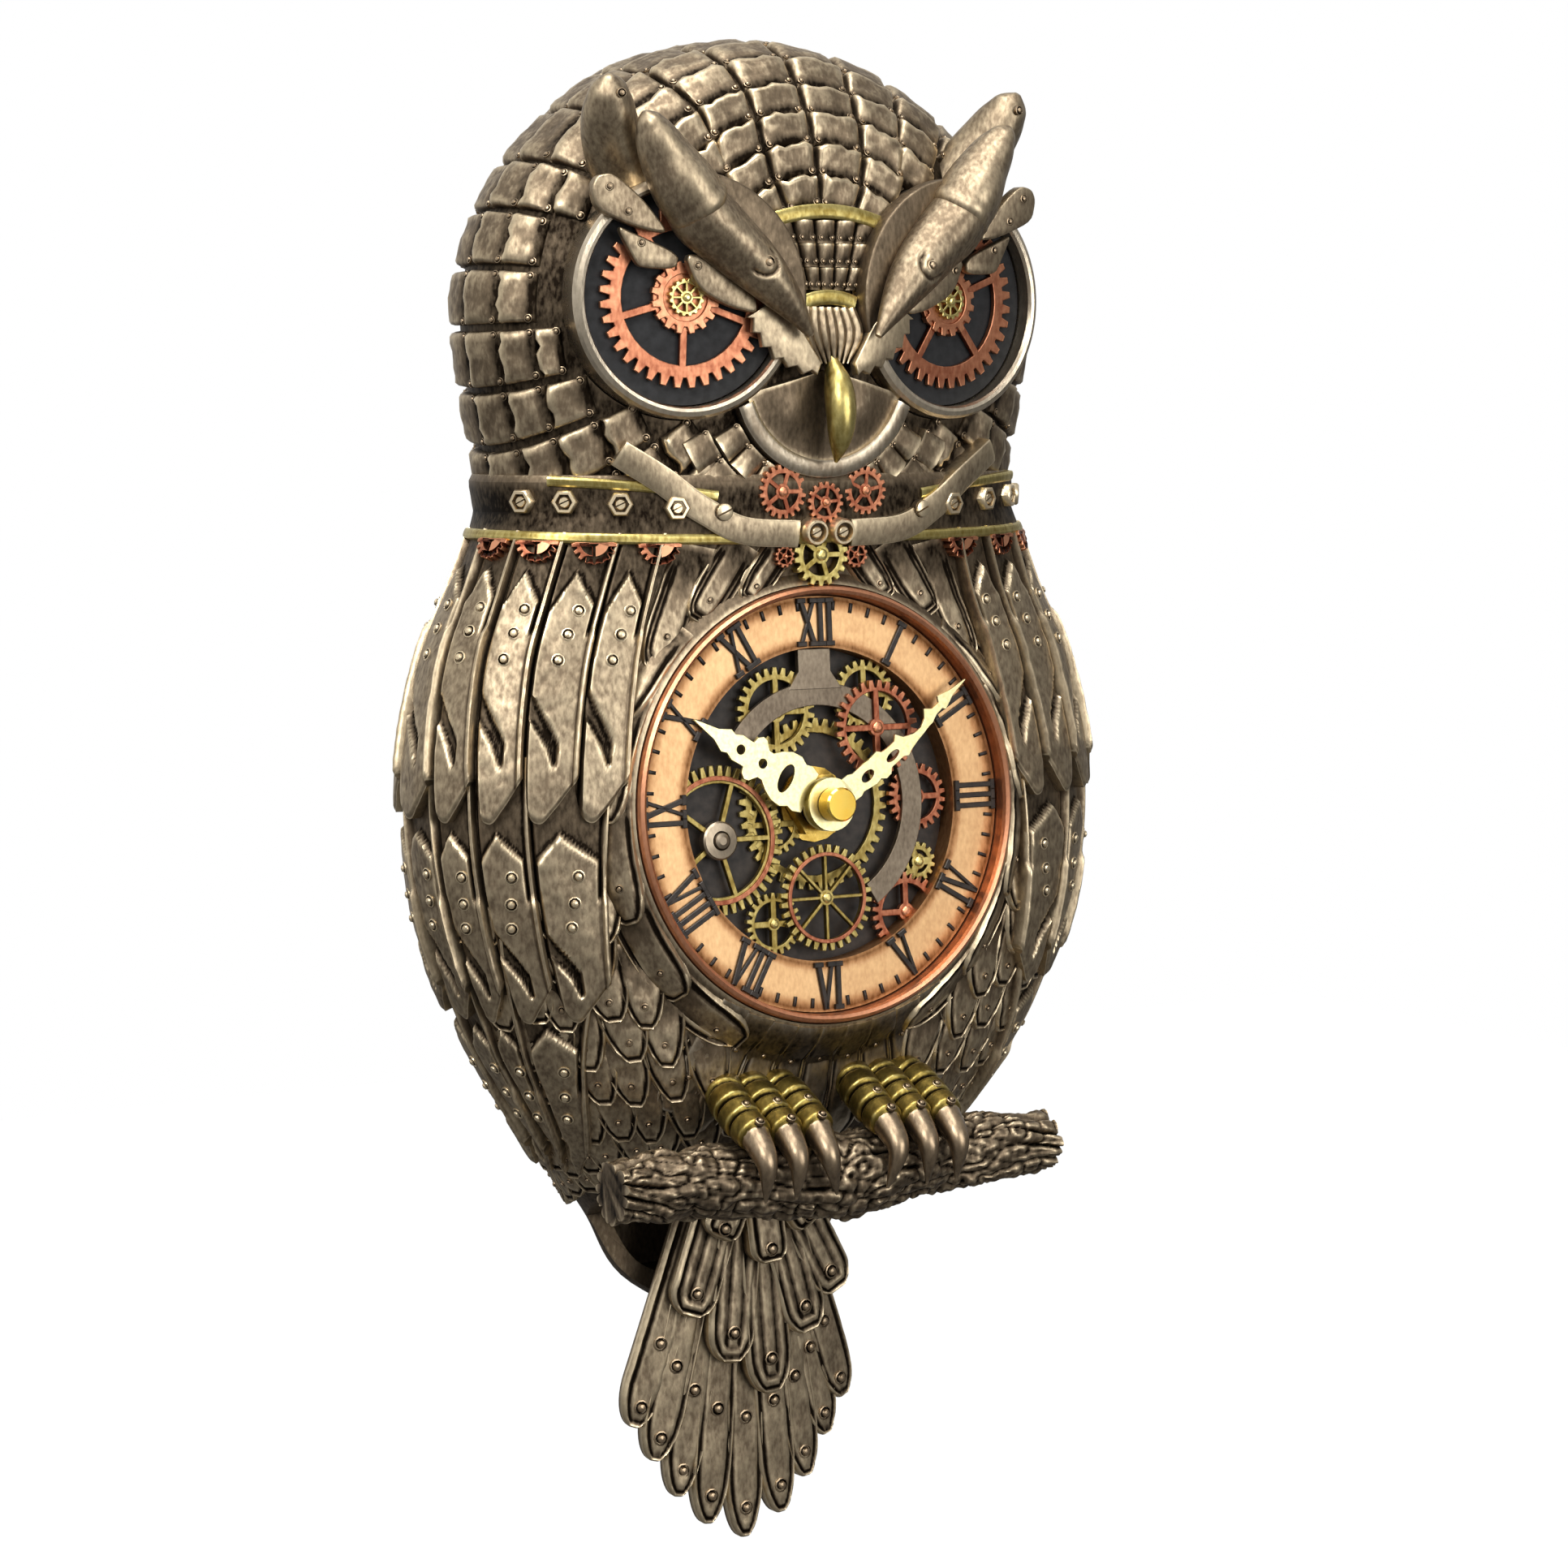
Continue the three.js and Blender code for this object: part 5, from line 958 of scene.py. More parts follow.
def wheel(build, place, at, tip, teeth, depth, inside, hub, spokes, width, levels, finish, turn=0.0,
          bias=0.0):
    """A spoked gear with a raised hub."""
    back, face = levels
    loops = [toothed(tip, tip - depth, teeth, at, turn)] + windows(hub, inside, spokes, width, at, turn)
    build.plate(loops, back, face, place, 0.16, bias, finish)
    knob = hub * 0.62
    build.lathe([(knob, back), (knob, face + 0.35), (knob * 0.8, face + 0.6), (knob * 0.4, face + 0.75)],
                set_at(place, *at), 20, bias + 0.1, finish)


def in_millimetres(group):
    """Sizes of a property group, in millimetres."""
    names = [key for key in group.bl_rna.properties.keys() if key not in ("rna_type", "name")]
    return SimpleNamespace(**{key: getattr(group, key) * 1000 for key in names})


def side_name(side):
    """The viewer's name for a side."""
    return "left" if side < 0 else "right"


def forehead(build, rivets):
    """Three rows of small plates between the brows."""
    s = np.linspace(0, 1, 9)[:, None]
    w = np.array([-1, -0.9, -0.6, -0.2, 0.2, 0.6, 0.9, 1])[None, :]
    for row, (high, low) in enumerate(((3.6, -1.2), (-1.4, -6.4), (-6.6, -11.4))):
        z = low + s * (high - low)
        half = np.interp(z, [-13, 5], [7.0, 14.5])
        for k in range(5):
            x = ((k - 2) * 0.4 + 0.18 * w) * half
            dents = hammered(front(x, z), 0.2, k + 9 * row)
            lift = 0.3 + 0.8 * s * (1 - w**4) + dents - 0.6 * np.abs(w) ** 8
            # Painted shade at each plate's root and sides, lighter toward its raised end
            build.relief(front, x, z, lift, 3, -0.3 + 0.3 * s * (1 - w**6))
            for col in (2, 5):
                rivets.add(*place_on(front(x, z), lift, 2, col), 0.55)


def cheeks(build, rivets):
    """Two rows of small plates on each side of the chin, below the eyes."""
    s = np.linspace(0, 1, 8)[:, None]
    w = np.array([-1, -0.9, -0.5, 0, 0.5, 0.9, 1])[None, :]
    for side in SIDES:
        for ring, (low, high) in enumerate(((24.2, 30.6), (31.2, 37.5))):
            reach = low + s * (high - low)
            for k in range(4):
                a = np.radians(16 + 4 * ring + 13 * (k + 0.47 * w))
                x, z = side * reach * np.sin(a), CHIN[1] - reach * np.cos(a)
                if z.min() < -58 or np.hypot(x - EYE_CENTRE[0] * side, z - EYE_CENTRE[2]).min() < 26.6:
                    continue
                lift = 0.2 + 0.9 * s * (1 - w**4) + hammered(front(x, z), 0.25, k) - 0.4 * np.abs(w) ** 8
                # Painted shade at each plate's root and sides, lighter toward its raised end
                build.relief(front, x, z, lift, 3, -0.15 + 0.2 * s * (1 - w**6))
                for col in (1, 5):
                    rivets.add(*place_on(front(x, z), lift, 1, col), 0.55)


def build_head(sizes):
    """Head shell with its plates and beard, then the bands, the chin's arc and the beak."""
    build, rivets = Build(), Studs()
    # The shell shows in the grooves between the plates, darker there as wash and painted shade
    build.add(*head_shell(), -0.22)
    head_plates(build, rivets, sizes)
    forehead(build, rivets)
    # Beard of tapering strands above the beak, and the swelling below it
    for k in range(-3, 4):
        build.tube([(1.9 * k, -57.4, -15.5, 1.3), (2.2 * k, -59, -20.5, 1.4), (1.1 * k, -60.2, -27.5, 0.25)],
                   14, 8, 0.9, (0, 1, 0), bias=-0.15)
    s, a = np.linspace(0.02, 1, 12)[:, None], np.radians(np.linspace(-75, 75, 41))[None, :]
    x, z = 20.4 * s * np.sin(a), CHIN[1] - 20.4 * s * np.cos(a)
    swell = np.exp(-((np.abs(x) - 9) / 4) ** 2 - ((z + 37) / 5) ** 2)
    build.relief(front, x, z, 0.5 + 1.2 * swell, 3, -0.08)
    cheeks(build, rivets)
    build.piece("head", ["Antiqued bronze"], "case", ["head_shell"], "bronze_casting")
    rivets.piece("head_rivets", "Dark bronze", "case", "bronze_casting")
    bands = Build()
    for path in ([(x, 5.6 - 0.012 * x * x) for x in np.linspace(-17, 17, 9)],
                 [(x, -13 - 0.03 * x * x) for x in np.linspace(-6.6, 6.6, 7)]):
        ribbon(bands, front, path, 1.6, 1.5, 3, 30)
    bands.piece("brow_bands", ["Rubbed gold"], "case", slot="gold_casting")
    chin = Build()
    arc = np.radians(np.linspace(-70, 70, 13))
    path = np.stack([CHIN[0] * np.sin(arc), CHIN[1] - CHIN[0] * np.cos(arc)], 1)
    ribbon(chin, front, path, 1.9, 1.9, 1.5, 50, bias=0.02)
    chin.piece("chin_plate_dressed", ["Pale bronze"], "case", ["chin_plate"], "pale_bronze_casting")
    beak = Build()
    beak.tube([(0, -58.7, -26.5, 1.4), (0, -61.6, -32, 3.2), (0, -63, -39, 3.4), (0, -62.2, -45, 2.3),
               (0, -60.8, -49, 0.4)], 30, 20, 0.95, (0, 1, 0),
              lambda s, a: 1 + 0.16 * np.maximum(0, np.cos(a - np.pi / 2)) ** 6 + 0 * s)
    beak.piece("beak_dressed", ["Rubbed gold"], "case", ["beak"], "gold_casting")


# Horns of the right brow, as x, y, z and radius along each
BROW_HORN = np.array([
    (36, -56.6, 7.6, 5.4), (34.4, -57.8, 5.8, 6.4), (25.8, -60, -1.8, 6.3), (17.9, -62.2, -9.5, 4.9),
    (12, -63.8, -16.6, 2.6), (8.6, -64.4, -21.5, 0.8)])
BROW_FINGER = np.array([
    (31.5, -58.8, 3.4, 3.4), (32.6, -58.8, 4.8, 6.6), (35, -58.6, 7.8, 7.3), (41, -57.6, 16.4, 5.9),
    (45, -58.4, 22.6, 3.6), (46.4, -58.8, 24.8, 1.9), (46.8, -58.9, 25.6, 0.6)])
BROW_TUFT = np.array([
    (36, -38, 2, 7.4), (43, -43, 13.4, 7.4), (48.8, -47.2, 23, 6.6), (51.2, -51, 29, 5),
    (52.2, -52.8, 31.8, 3.2), (52.7, -53.8, 33.2, 0.8)])
# Plates over the left eye, on its place: outline, rivets, back and face
BROW_PLATES = (
    ([(-22.9, 23), (-21.6, 25.5), (-18, 26.1), (-11.2, 20.8), (-5.3, 13.6), (-9.2, 13.8), (-14.5, 15.3),
      (-21.7, 18.2)], [(-18.9, 23.2), (-14.7, 18)], 1.2, 4.4),
    ([(-16.8, 15.2), (-12.5, 13.4), (-2.6, 9.3), (-3, 5.9), (-11.6, 6.1), (-13.2, 8.5)],
     [(-11.2, 11.5)], 0.6, 3.0),
    ([(-1.6, 9.3), (4, 8.8), (14.8, 0.8), (15.4, -3.5), (8.7, -2), (1.4, 1.9)], [(1.4, 6.7)], 0.8, 3.8))
COMB_BACK = [(19.4, -0.5), (25.1, -5.7), (30.5, -14)]
COMB_TEETH = np.array([
    (29.6, -16.6), (26.2, -16.4), (22.6, -15), (19.4, -13.2), (16.6, -10.6), (14.4, -7.4), (13.2, -4.2)])


def ridge(s, a):
    """Section of a horn, with a keel along its front."""
    return 0.92 + 0.26 * np.maximum(0, np.sin(a)) ** 6 - 0.08 * np.sin(a) ** 2 + 0 * s


def curl(s, a):
    """The keeled section with a curled line cut into it."""
    ahead = (s - 0.52) * 38
    cut = np.exp(-((np.hypot(ahead, (a - 1.6) * 5.6) - 3) / 0.45) ** 2)
    return ridge(s, a) - 0.14 * cut * smooth(-1.5, 0.5, ahead)


def turned_over(side, outline):
    """An outline on the left eye's place, or the same turned over for the right one."""
    return [[(-side * x, y) for x, y in outline]]


def build_brows():
    """Two brows: a horn with a finger and a tuft, over a temple plate, a comb and three small plates."""
    for side in SIDES:
        build, rivets = Build(), Studs()
        mirror = np.array((side, 1, 1, 1))
        eye = eye_place(side)
        build.tube(BROW_HORN * mirror, 110, 72, 1.15, (0, -1, 0), curl, 0.02)
        for path in (BROW_FINGER, BROW_TUFT):
            build.tube(path * mirror, 60, 32, 1.1, (0, -1, 0), ridge, 0.02)
        temple = [polar(27.2, a) for a in np.radians(np.linspace(-24, 96, 21))]
        temple += [(-1, 20), (8, 12.5), (16, 5), (24.5, -6)]
        build.plate(turned_over(side, temple), -1.0, 3.0, eye, 0.6, -0.16)
        comb = list(COMB_BACK)
        for first, second in zip(COMB_TEETH, COMB_TEETH[1:]):
            comb.extend([first, first * 0.35 + second * 0.65 + (0.9, 0.9)])
        build.plate(turned_over(side, comb + [COMB_TEETH[-1]]), 1.0, 3.2, eye, 0.3, 0.05)
        for outline, spots, back, face in BROW_PLATES:
            build.plate(turned_over(side, rounded(outline)), back, face, eye, 0.5, -0.04)
            for x, y in spots:
                rivets.add(eye[0] + np.array((-side * x, y, face - 0.1)) @ np.array(eye[1:]), eye[3], 0.85)
        for place, size in (((21, -67, -6), 1.3), ((37, -64.8, 10.4), 1.2), ((51, -56.6, 29.4), 0.9)):
            rivets.add(np.array(place) * mirror[:3], (0.2 * side, -1, 0), size)
        name = side_name(side)
        build.piece(f"brow_{name}_dressed", ["Antiqued bronze"], "case", [f"brow_{name}"],
                    "bronze_casting", 0.8)
        rivets.piece(f"brow_{name}_rivets", "Dark bronze", "case", "bronze_casting")


def build_eyes():
    """Two eyes: a ring, a dark ground, two gears over each other and a toothed pupil."""
    ground, gear, pupil = 1, 2, 3
    for side in SIDES:
        build, place = Build(), eye_place(side)
        ring = [(23.5, -6), (23.5, 1.2), (23.9, 1.9), (24.6, 2.1), (25.6, 1.7), (26.2, 0.8), (26.2, -6)]
        build.lathe(ring, place, 96, bias=0.08, ring=True)
        build.lathe([(23.2, -6), (23.2, -2)], place, 64, finish=ground)
        outer = [toothed(19.5, 17.3, 36)] + windows(7.4, 14.6, 5, 1.7, turn=0.35 * side)
        build.plate(outer, -1.7, -0.5, place, 0.2, 0.05, gear)
        build.plate([toothed(7.9, 6.4, 16), circle(5.1)], -1.6, 0.1, place, 0.2, 0.1, gear)
        wheel(build, place, (0, 0), 4.1, 16, 0.45, 3.0, 1.5, 8, 0.6, (-1.9, 0.8), pupil, bias=0.1)
        name = side_name(side)
        build.piece(f"eye_{name}", ["Pale bronze", "Black ground", "Rubbed copper", "Rubbed gold"], "case",
                    [f"eye_ring_{name}", f"eye_disc_{name}", f"eye_gear_{name}"], "pale_bronze_casting",
                    0.8, 12)


def build_collar():
    """Collar band with its trims, straps and gears, then the nuts and screws on it."""
    gold, copper = 1, 2
    build = Build()
    turns, rows = np.linspace(-124, 124, 181)[None, :], np.linspace(0, 1, 12)[:, None]
    z = -51.6 - 15 * rows + 0 * turns
    lift = 1.7 - 1.2 * np.abs(2 * rows - 1) ** 8 + hammered(neck(turns + 0 * rows, z), 0.12)
    build.relief(neck, turns + 0 * rows, z, lift, 2.6, -0.2, plain=False)
    half_gear = [toothed(5, 4, 18, turn=math.pi, part=0.5)] + windows(1.3, 3.1, 4, 0.9, turn=math.pi)[:2]
    for side in SIDES:
        trim = [(side * t, v) for t, v in ((20, -56), (34, -54.2), (48, -53.2), (62, -52.6))]
        ribbon(build, neck, trim, 1.1, 2.3, 2, finish=gold)
        strap = [(side * t, v) for t, v in ((42, -46.5), (33, -52), (24, -58.6), (14, -63.4), (3.4, -64.4))]
        ribbon(build, neck, strap, 3.0, 3.2, 2, 50, bias=0.06)
        for turn in (30.5, 47, 64.3, 82.5):
            p, n = outward(neck, np.array([side * turn * 1.0]), np.array([-66.0]))
            aside = np.cross((0, 0, 1), n[0])
            aside /= np.linalg.norm(aside)
            build.plate(half_gear, -0.6, 2.3, (p[0], aside, np.cross(n[0], aside), n[0]), finish=copper)
    ribbon(build, neck, [(t, -65.4) for t in np.linspace(-122, 122, 41)], 1.15, 2.5, 2, 181, finish=gold)
    for x, z, lift, tip, teeth, finish, turn in (
            (-10.5, -55.3, 0.9, 6, 20, copper, 0), (10.5, -55.3, 0.9, 5.4, 18, copper, 0.2),
            (0, -57.7, 1.5, 4.6, 16, copper, 0.1), (0, -69.4, 0.8, 7, 18, gold, 0),
            (-9.3, -69.6, 0.8, 2.5, 12, copper, 0), (9.3, -69.6, 0.8, 2.9, 12, copper, 0)):
        p, n = outward(neck, turn_at(np.array([x]), np.array([z])), np.array([z]))
        wheel(build, (p[0] + n[0] * lift, *UPRIGHT), (0, 0), tip, teeth, tip * 0.16, tip * 0.66, tip * 0.3,
              5, tip * 0.18, (-1.5, 1.0), finish, turn)
    build.piece("collar", ["Antiqued bronze", "Rubbed gold", "Rubbed copper"], "case",
                ["collar_band", "collar_clasp", "throat_gear"], "bronze_casting", 1.0, 12)
    for name, stud, size, lift, spots in (
            ("collar_nuts", hexagon_nut, 2.9, 1.9,
             [(34.6, -58.7), (46.4, -57.9), (56.4, -57.4), (62.5, -57.2)]),
            ("collar_screws", screw_head, 2.0, 3.3, [(24.3, -59.6)]),
            ("collar_ring_nuts", round_nut, 3.0, 3.2, [(3.6, -63.8)])):
        fixings = Studs()
        for side in SIDES:
            for x, z in spots:
                fixings.on(neck, turn_at(side * x, z), z, lift, size)
        fixings.piece(name, "Antiqued bronze", "case", "bronze_casting", stud)


def torso_shell():
    """Hollow torso, open behind and under the belly, with the dial's recess."""
    block = lofted(np.linspace(-60.3, -251, 90), np.linspace(-125, 125, 161), -0.4, 0)
    hollow = lofted(np.linspace(-57, -237, 60), np.linspace(-125, 125, 101), -5.2, 3)
    opening = prism([(-90, -202), (-46, -202), (-10, -222), (-10, -254), (-90, -254)], -95, 95)
    recess = Build()
    recess.lathe([(48.9, -6.8), (48.9, 30)], DIAL, 96)
    return carved(block, hollow, opening, recess)


def chest_feathers(rivets, sizes):
    """Feathers below the collar and along the dial's rim."""
    build = Build()
    for side in SIDES:
        chest = ((9, -67, 19, -80, 9), (19, -66.5, 31, -84, 11), (30, -67, 41, -95, 11))
        for k, (x, z, tip_x, tip_z, width) in enumerate(chest):
            root, tip = (turn_at(side * x, z), z), (turn_at(side * tip_x, tip_z), tip_z)
            small_feather(build, rivets, root, tip, width, sizes, lift=(0.4 - 0.1 * k, 1.9),
                          lines=(1.2, 2.3), seed=k, rivet_size=0.75)
        for start, end, reach, width in ((40, 68, 53, 7), (60, 92, 53, 7.5), (84, 116, 53, 8),
                                         (108, 138, 53.5, 8.5), (130, 158, 54.5, 9)):
            small_feather(build, rivets, (side * start, reach), (side * end, reach + 0.6), width, sizes,
                          lift=(0.3, 1.5), lines=(1.3,), seed=start, surface=rim)
    build.piece("chest_feathers", ["Antiqued bronze"], "case", slot="bronze_casting")


def belly_feathers(rivets, sizes):
    """Planks that fan out below the dial, in pale bronze as painted light that brightens them in the shade
    there.
    """
    build = Build()
    for k in range(-4, 5):
        small_feather(build, rivets, (180 - 7.6 * k, 49.6), (180 - 7 * k, 77 + 2 * (k % 2)), 8.2, sizes,
                      lift=(0.3, 1.4), lines=(1.2,), seed=k, surface=rim, at=(0.3, 0.62))
    build.piece("belly_feathers", ["Pale bronze"], "case", slot="bronze_casting")


def flank_feathers(rivets, sizes, side):
    """Rows of feathers from beside the dial down to the rump, clear of the opening for the tail."""
    build = Build()
    for row in range(10):
        z = -146 - 9.2 * row
        inner = turn_at(np.sqrt(max(27.0**2, 59.0**2 - (z + 125) ** 2)), z) if z > -197 else 24
        for k in range(11):
            turn = inner + 10 * (k + 0.5 * (row % 2))
            stray = math.sin(7.0 * row + 3.1 * k)
            depth = body(turn, np.array(z - 7.0))[1]
            lowest = -198.5 - 20 * min(max((depth + 46) / 36, 0), 1)
            tip = max(z - 7 - stray, lowest)
            if turn < 118 and tip < z + 1 and z > -240 and (z < -186 or turn < 80):
                root, end = (side * turn, z + 11), (side * (turn + 1.6 * stray), tip)
                small_feather(build, rivets, root, end, 12.4, sizes, lift=(0.2, 2.3), lines=(1.5,),
                              seed=row * 11 + k, square=2.0, start=0.3)
    build.piece(f"flank_{side_name(side)}_feathers", ["Antiqued bronze"], "case", slot="bronze_casting")


def build_torso(sizes):
    """Torso shell with the dial's seat, its sloping rim and the web behind the tail, then the feathers."""
    build, rivets = Build(), Studs()
    build.add(*torso_shell(), -0.15)
    build.lathe([(5.4, -10.9), (52.6, -10.9), (52.6, -7), (5.4, -7)], DIAL, 96, bias=-0.3, ring=True)
    slope = [(48.9, -9), (48.9, 2.4), (50, 1.8), (52, 0.3), (55, -3.1), (58, -7.8), (61, -13.7), (61, -16)]
    build.lathe(slope + [(52, -12)], DIAL, 128, bias=-0.15, ring=True)
    # The web behind the tail is painted darker than the shell, as the shade inside the hollow
    rows = np.linspace(-204, -249, 12)
    web = np.stack([body(np.full(len(rows), turn), rows, -1.5) for turn in (-118, 118)], 1)
    web[..., 1] = -0.2
    build.slab(web - np.array((0, 1.4, 0)), web, -0.45)
    build.piece("torso", ["Antiqued bronze"], "case", ["torso_shell"], "bronze_casting")
    chest_feathers(rivets, sizes)
    belly_feathers(rivets, sizes)
    for side in SIDES:
        flank_feathers(rivets, sizes, side)
    rivets.piece("torso_rivets", "Dark bronze", "case", "bronze_casting")


# Tiers of a wing: edges between its feathers in degrees, at the peak and at the bottom; heights of top, peak
# and bottom; height of the front tip; fall of the crest to both sides; lift at root and tip
WING_TIERS = (
    ([29.3, 40, 55, 71, 87, 103, 118], [31.5, 41.5, 53.5, 66, 79.5, 95, 112], (-64, -72, -126), -116.5,
     (8, 10), (0.6, 3.0)),
    ([35, 52, 67, 81, 95, 108], [39, 52, 65.5, 77, 89, 103], (-112, -128, -169), -160, (6, 6), (1.4, 2.6)),
    ([46, 66, 79, 91, 104], [62, 72, 79, 89, 103], (-150, -171, -206.5), -198, (5, 5), (1.0, 2.0)))


def build_wings(sizes):
    """Two wings of three tiers of feathers."""
    for side in SIDES:
        build, rivets = Build(), Studs()
        for t, (high, low, heights, edge, fall, lift) in enumerate(WING_TIERS):
            bottom = heights[2]
            tips = (edge, edge - 2.6, bottom + 2.8, bottom, bottom + 1.8, bottom + 5.5)
            for k in range(len(high) - 1):
                lines = ((high[k], low[k]), (high[k + 1], low[k + 1]))
                wing_feather(build, rivets, side, lines, heights, tips, fall, lift, sizes, 10 * t + k)
        name = side_name(side)
        build.piece(f"wing_{name}_dressed", ["Antiqued bronze"], "case", [f"wing_{name}"], "bronze_casting")
        rivets.piece(f"wing_{name}_rivets", "Antiqued bronze", "case", "bronze_casting")


def bark(s, a):
    """Twisted cracks along the branch, crust, and splits at its ends."""
    crack = np.abs(np.sin(4.5 * a + 3 * np.sin(5 * s) + 1.3 * np.sin(19 * s + 2 * a)))
    fine = np.abs(np.sin(9.5 * a + 4 * np.sin(9 * s) + 31 * s))
    split = smooth(0.14, 0.0, np.minimum(s, 1 - s))
    at = np.stack(np.broadcast_arrays(114 * s, 8 * np.cos(a), 8 * np.sin(a)), -1)
    crust = np.exp(-((lattice_noise(at * (0.7, 1, 1), 3, 5) / 0.16) ** 2))
    return (1.06 - (0.1 + 0.26 * split) * (1 - crack) ** 3 - 0.04 * (1 - fine) ** 2 - 0.1 * crust
            + 0.15 * lattice_noise(at, 6, 3) + 0.05 * lattice_noise(at, 1.6, 9))


def joints(s, a):
    """Creases across a toe."""
    return 1 - 0.24 * np.abs(np.cos(np.pi * 4 * s)) ** 18 + 0 * a


def build_perch():
    """Branch, and on it two feet of three toes with claws."""
    claw_finish = 1
    branch = Build()
    branch.tube([(-57, -61, -205.5, 6.6), (-28, -60, -206, 8), (0, -60, -208, 9.4), (28, -60, -206, 8),
                 (57, -61, -205.5, 6.6)], 220, 120, 1.0, (0, 0, 1), bark, -0.08)
    branch.piece("perch", ["Antiqued bronze"], "case", ["perch_branch"], "bronze_casting")
    for side in SIDES:
        build, rivets = Build(), Studs()
        mirror = np.array((side, 1, 1, 1))
        for x, tip_x in ((9, 6.6), (17, 17.1), (25, 24.9)):
            toe = np.array([(4 + 0.75 * x, -49.5, -187, 4.4), (1 + 0.94 * x, -55.5, -189.4, 4.7),
                            (x, -62.6, -192.9, 4.5), (x, -68.6, -195.4, 4)])
            build.tube(toe * mirror, 60, 20, 1.0, (1, 0, 0), joints, -0.2)
            claw = np.array([(x, -67.6, -195.2, 3.4), (x, -72.8, -200.4, 2.5), (tip_x, -72.2, -209.4, 0.3)])
            build.tube(claw * mirror, 24, 14, 1.0, (1, 0, 0), finish=claw_finish)
            aim = np.array((0, -0.6, 0.8))
            for y, z, reach in ((-61, -192.8, 5), (-67.4, -195, 4.2)):
                rivets.add(np.array((side * x, y, z)) + reach * aim, aim, 0.9)
        name = side_name(side)
        build.piece(f"foot_{name}_dressed", ["Rubbed gold", "Dark bronze"], "case", [f"foot_{name}"],
                    "gold_casting", 1.5)
        rivets.piece(f"foot_{name}_rivets", "Dark bronze", "case", "gold_casting")


def build_tail(sizes):
    """Three layers of tail feathers that spread from one root, each over the last."""
    build, rivets = Build(), Studs()
    edge = [(0, -300.5), (9.8, -296), (17.4, -288.6), (23.4, -279.4), (28.4, -271)]
    fan = [(side * x, z) for x, z in edge for side in (SIDES if x else (1,))]
    # Tips, width, engraved lines and rivets of each layer
    layers = (
        (fan, 10.6, (1.6,), (0.91, 0.68)),
        ([(-16.5, -245.5), (24, -244), (15.6, -252.7), (-6, -257.5), (5, -266)], 12.6, (1.7, 4.2), (0.84,)),
        ([(-11, -227), (14, -226), (2.4, -234)], 10, (1.6,), (0.84,)))
    for layer, (tips, width, lines, at) in enumerate(layers):
        for k, (x, z) in enumerate(tips):
            small_feather(build, rivets, (0.3 * x, -212), (x, z), width, sizes,
                          lift=(0.6, 1.6 + 0.2 * (k % 3) + 0.4 * layer), lines=lines, seed=k, rivet_size=1.5,
                          surface=tail_plane(layer), under=1.6, square=2.0, start=0.82, at=at)
    build.piece("tail", ["Antiqued bronze"], "pendulum", ["tail_bob"], "bronze_casting")
    rivets.piece("tail_rivets", "Dark bronze", "pendulum", "bronze_casting")


# Radii of the chapter ring, distance and height of its numerals, and distance of the minute marks
CHAPTER_RING = (34.9, 46.3)
NUMERAL_REACH = 40.5
NUMERAL_HEIGHT = 10.6
MARK_REACH = 44.3
# Bars of a numeral's letters, as start, end and width, and the room that each letter takes
STROKES = {"I": [((0, -1), (0, 1), 1.2)],
           "V": [((-0.66, 1), (0, -1.08), 1.2), ((0.66, 1), (0, -1.08), 0.85)],
           "X": [((-0.62, 1), (0.62, -1), 1.2), ((0.62, 1), (-0.62, -1), 0.85)]}
ADVANCE = {"I": 2.3, "V": 4.4, "X": 4.4}


def numeral(build, text, hour, finish):
    """Roman numeral on the chapter ring; those of the lower half have their tops to the centre."""
    angle = math.radians(30 * hour)
    flip = -1 if 4 <= hour <= 8 else 1
    up = np.array((math.sin(angle), math.cos(angle)))
    centre = up * NUMERAL_REACH
    up = up * flip
    right = np.array((up[1], -up[0]))
    half = NUMERAL_HEIGHT / 2 - 0.5
    left = -sum(ADVANCE[letter] for letter in text) / 2
    for letter in text:
        middle = left + ADVANCE[letter] / 2
        left += ADVANCE[letter]
        for *ends, width in STROKES[letter]:
            spots = [centre + right * (middle + x * 2.6) + up * y * half for x, y in ends]
            bar(build, DIAL, *spots, width, -0.2, 0.75, finish)
            # Serifs, but for the foot of a V
            for (_, y), spot in zip(ends, spots):
                if letter != "V" or y > 0:
                    bar(build, DIAL, spot - right * 1.15, spot + right * 1.15, 1.15, -0.2, 0.85, finish)


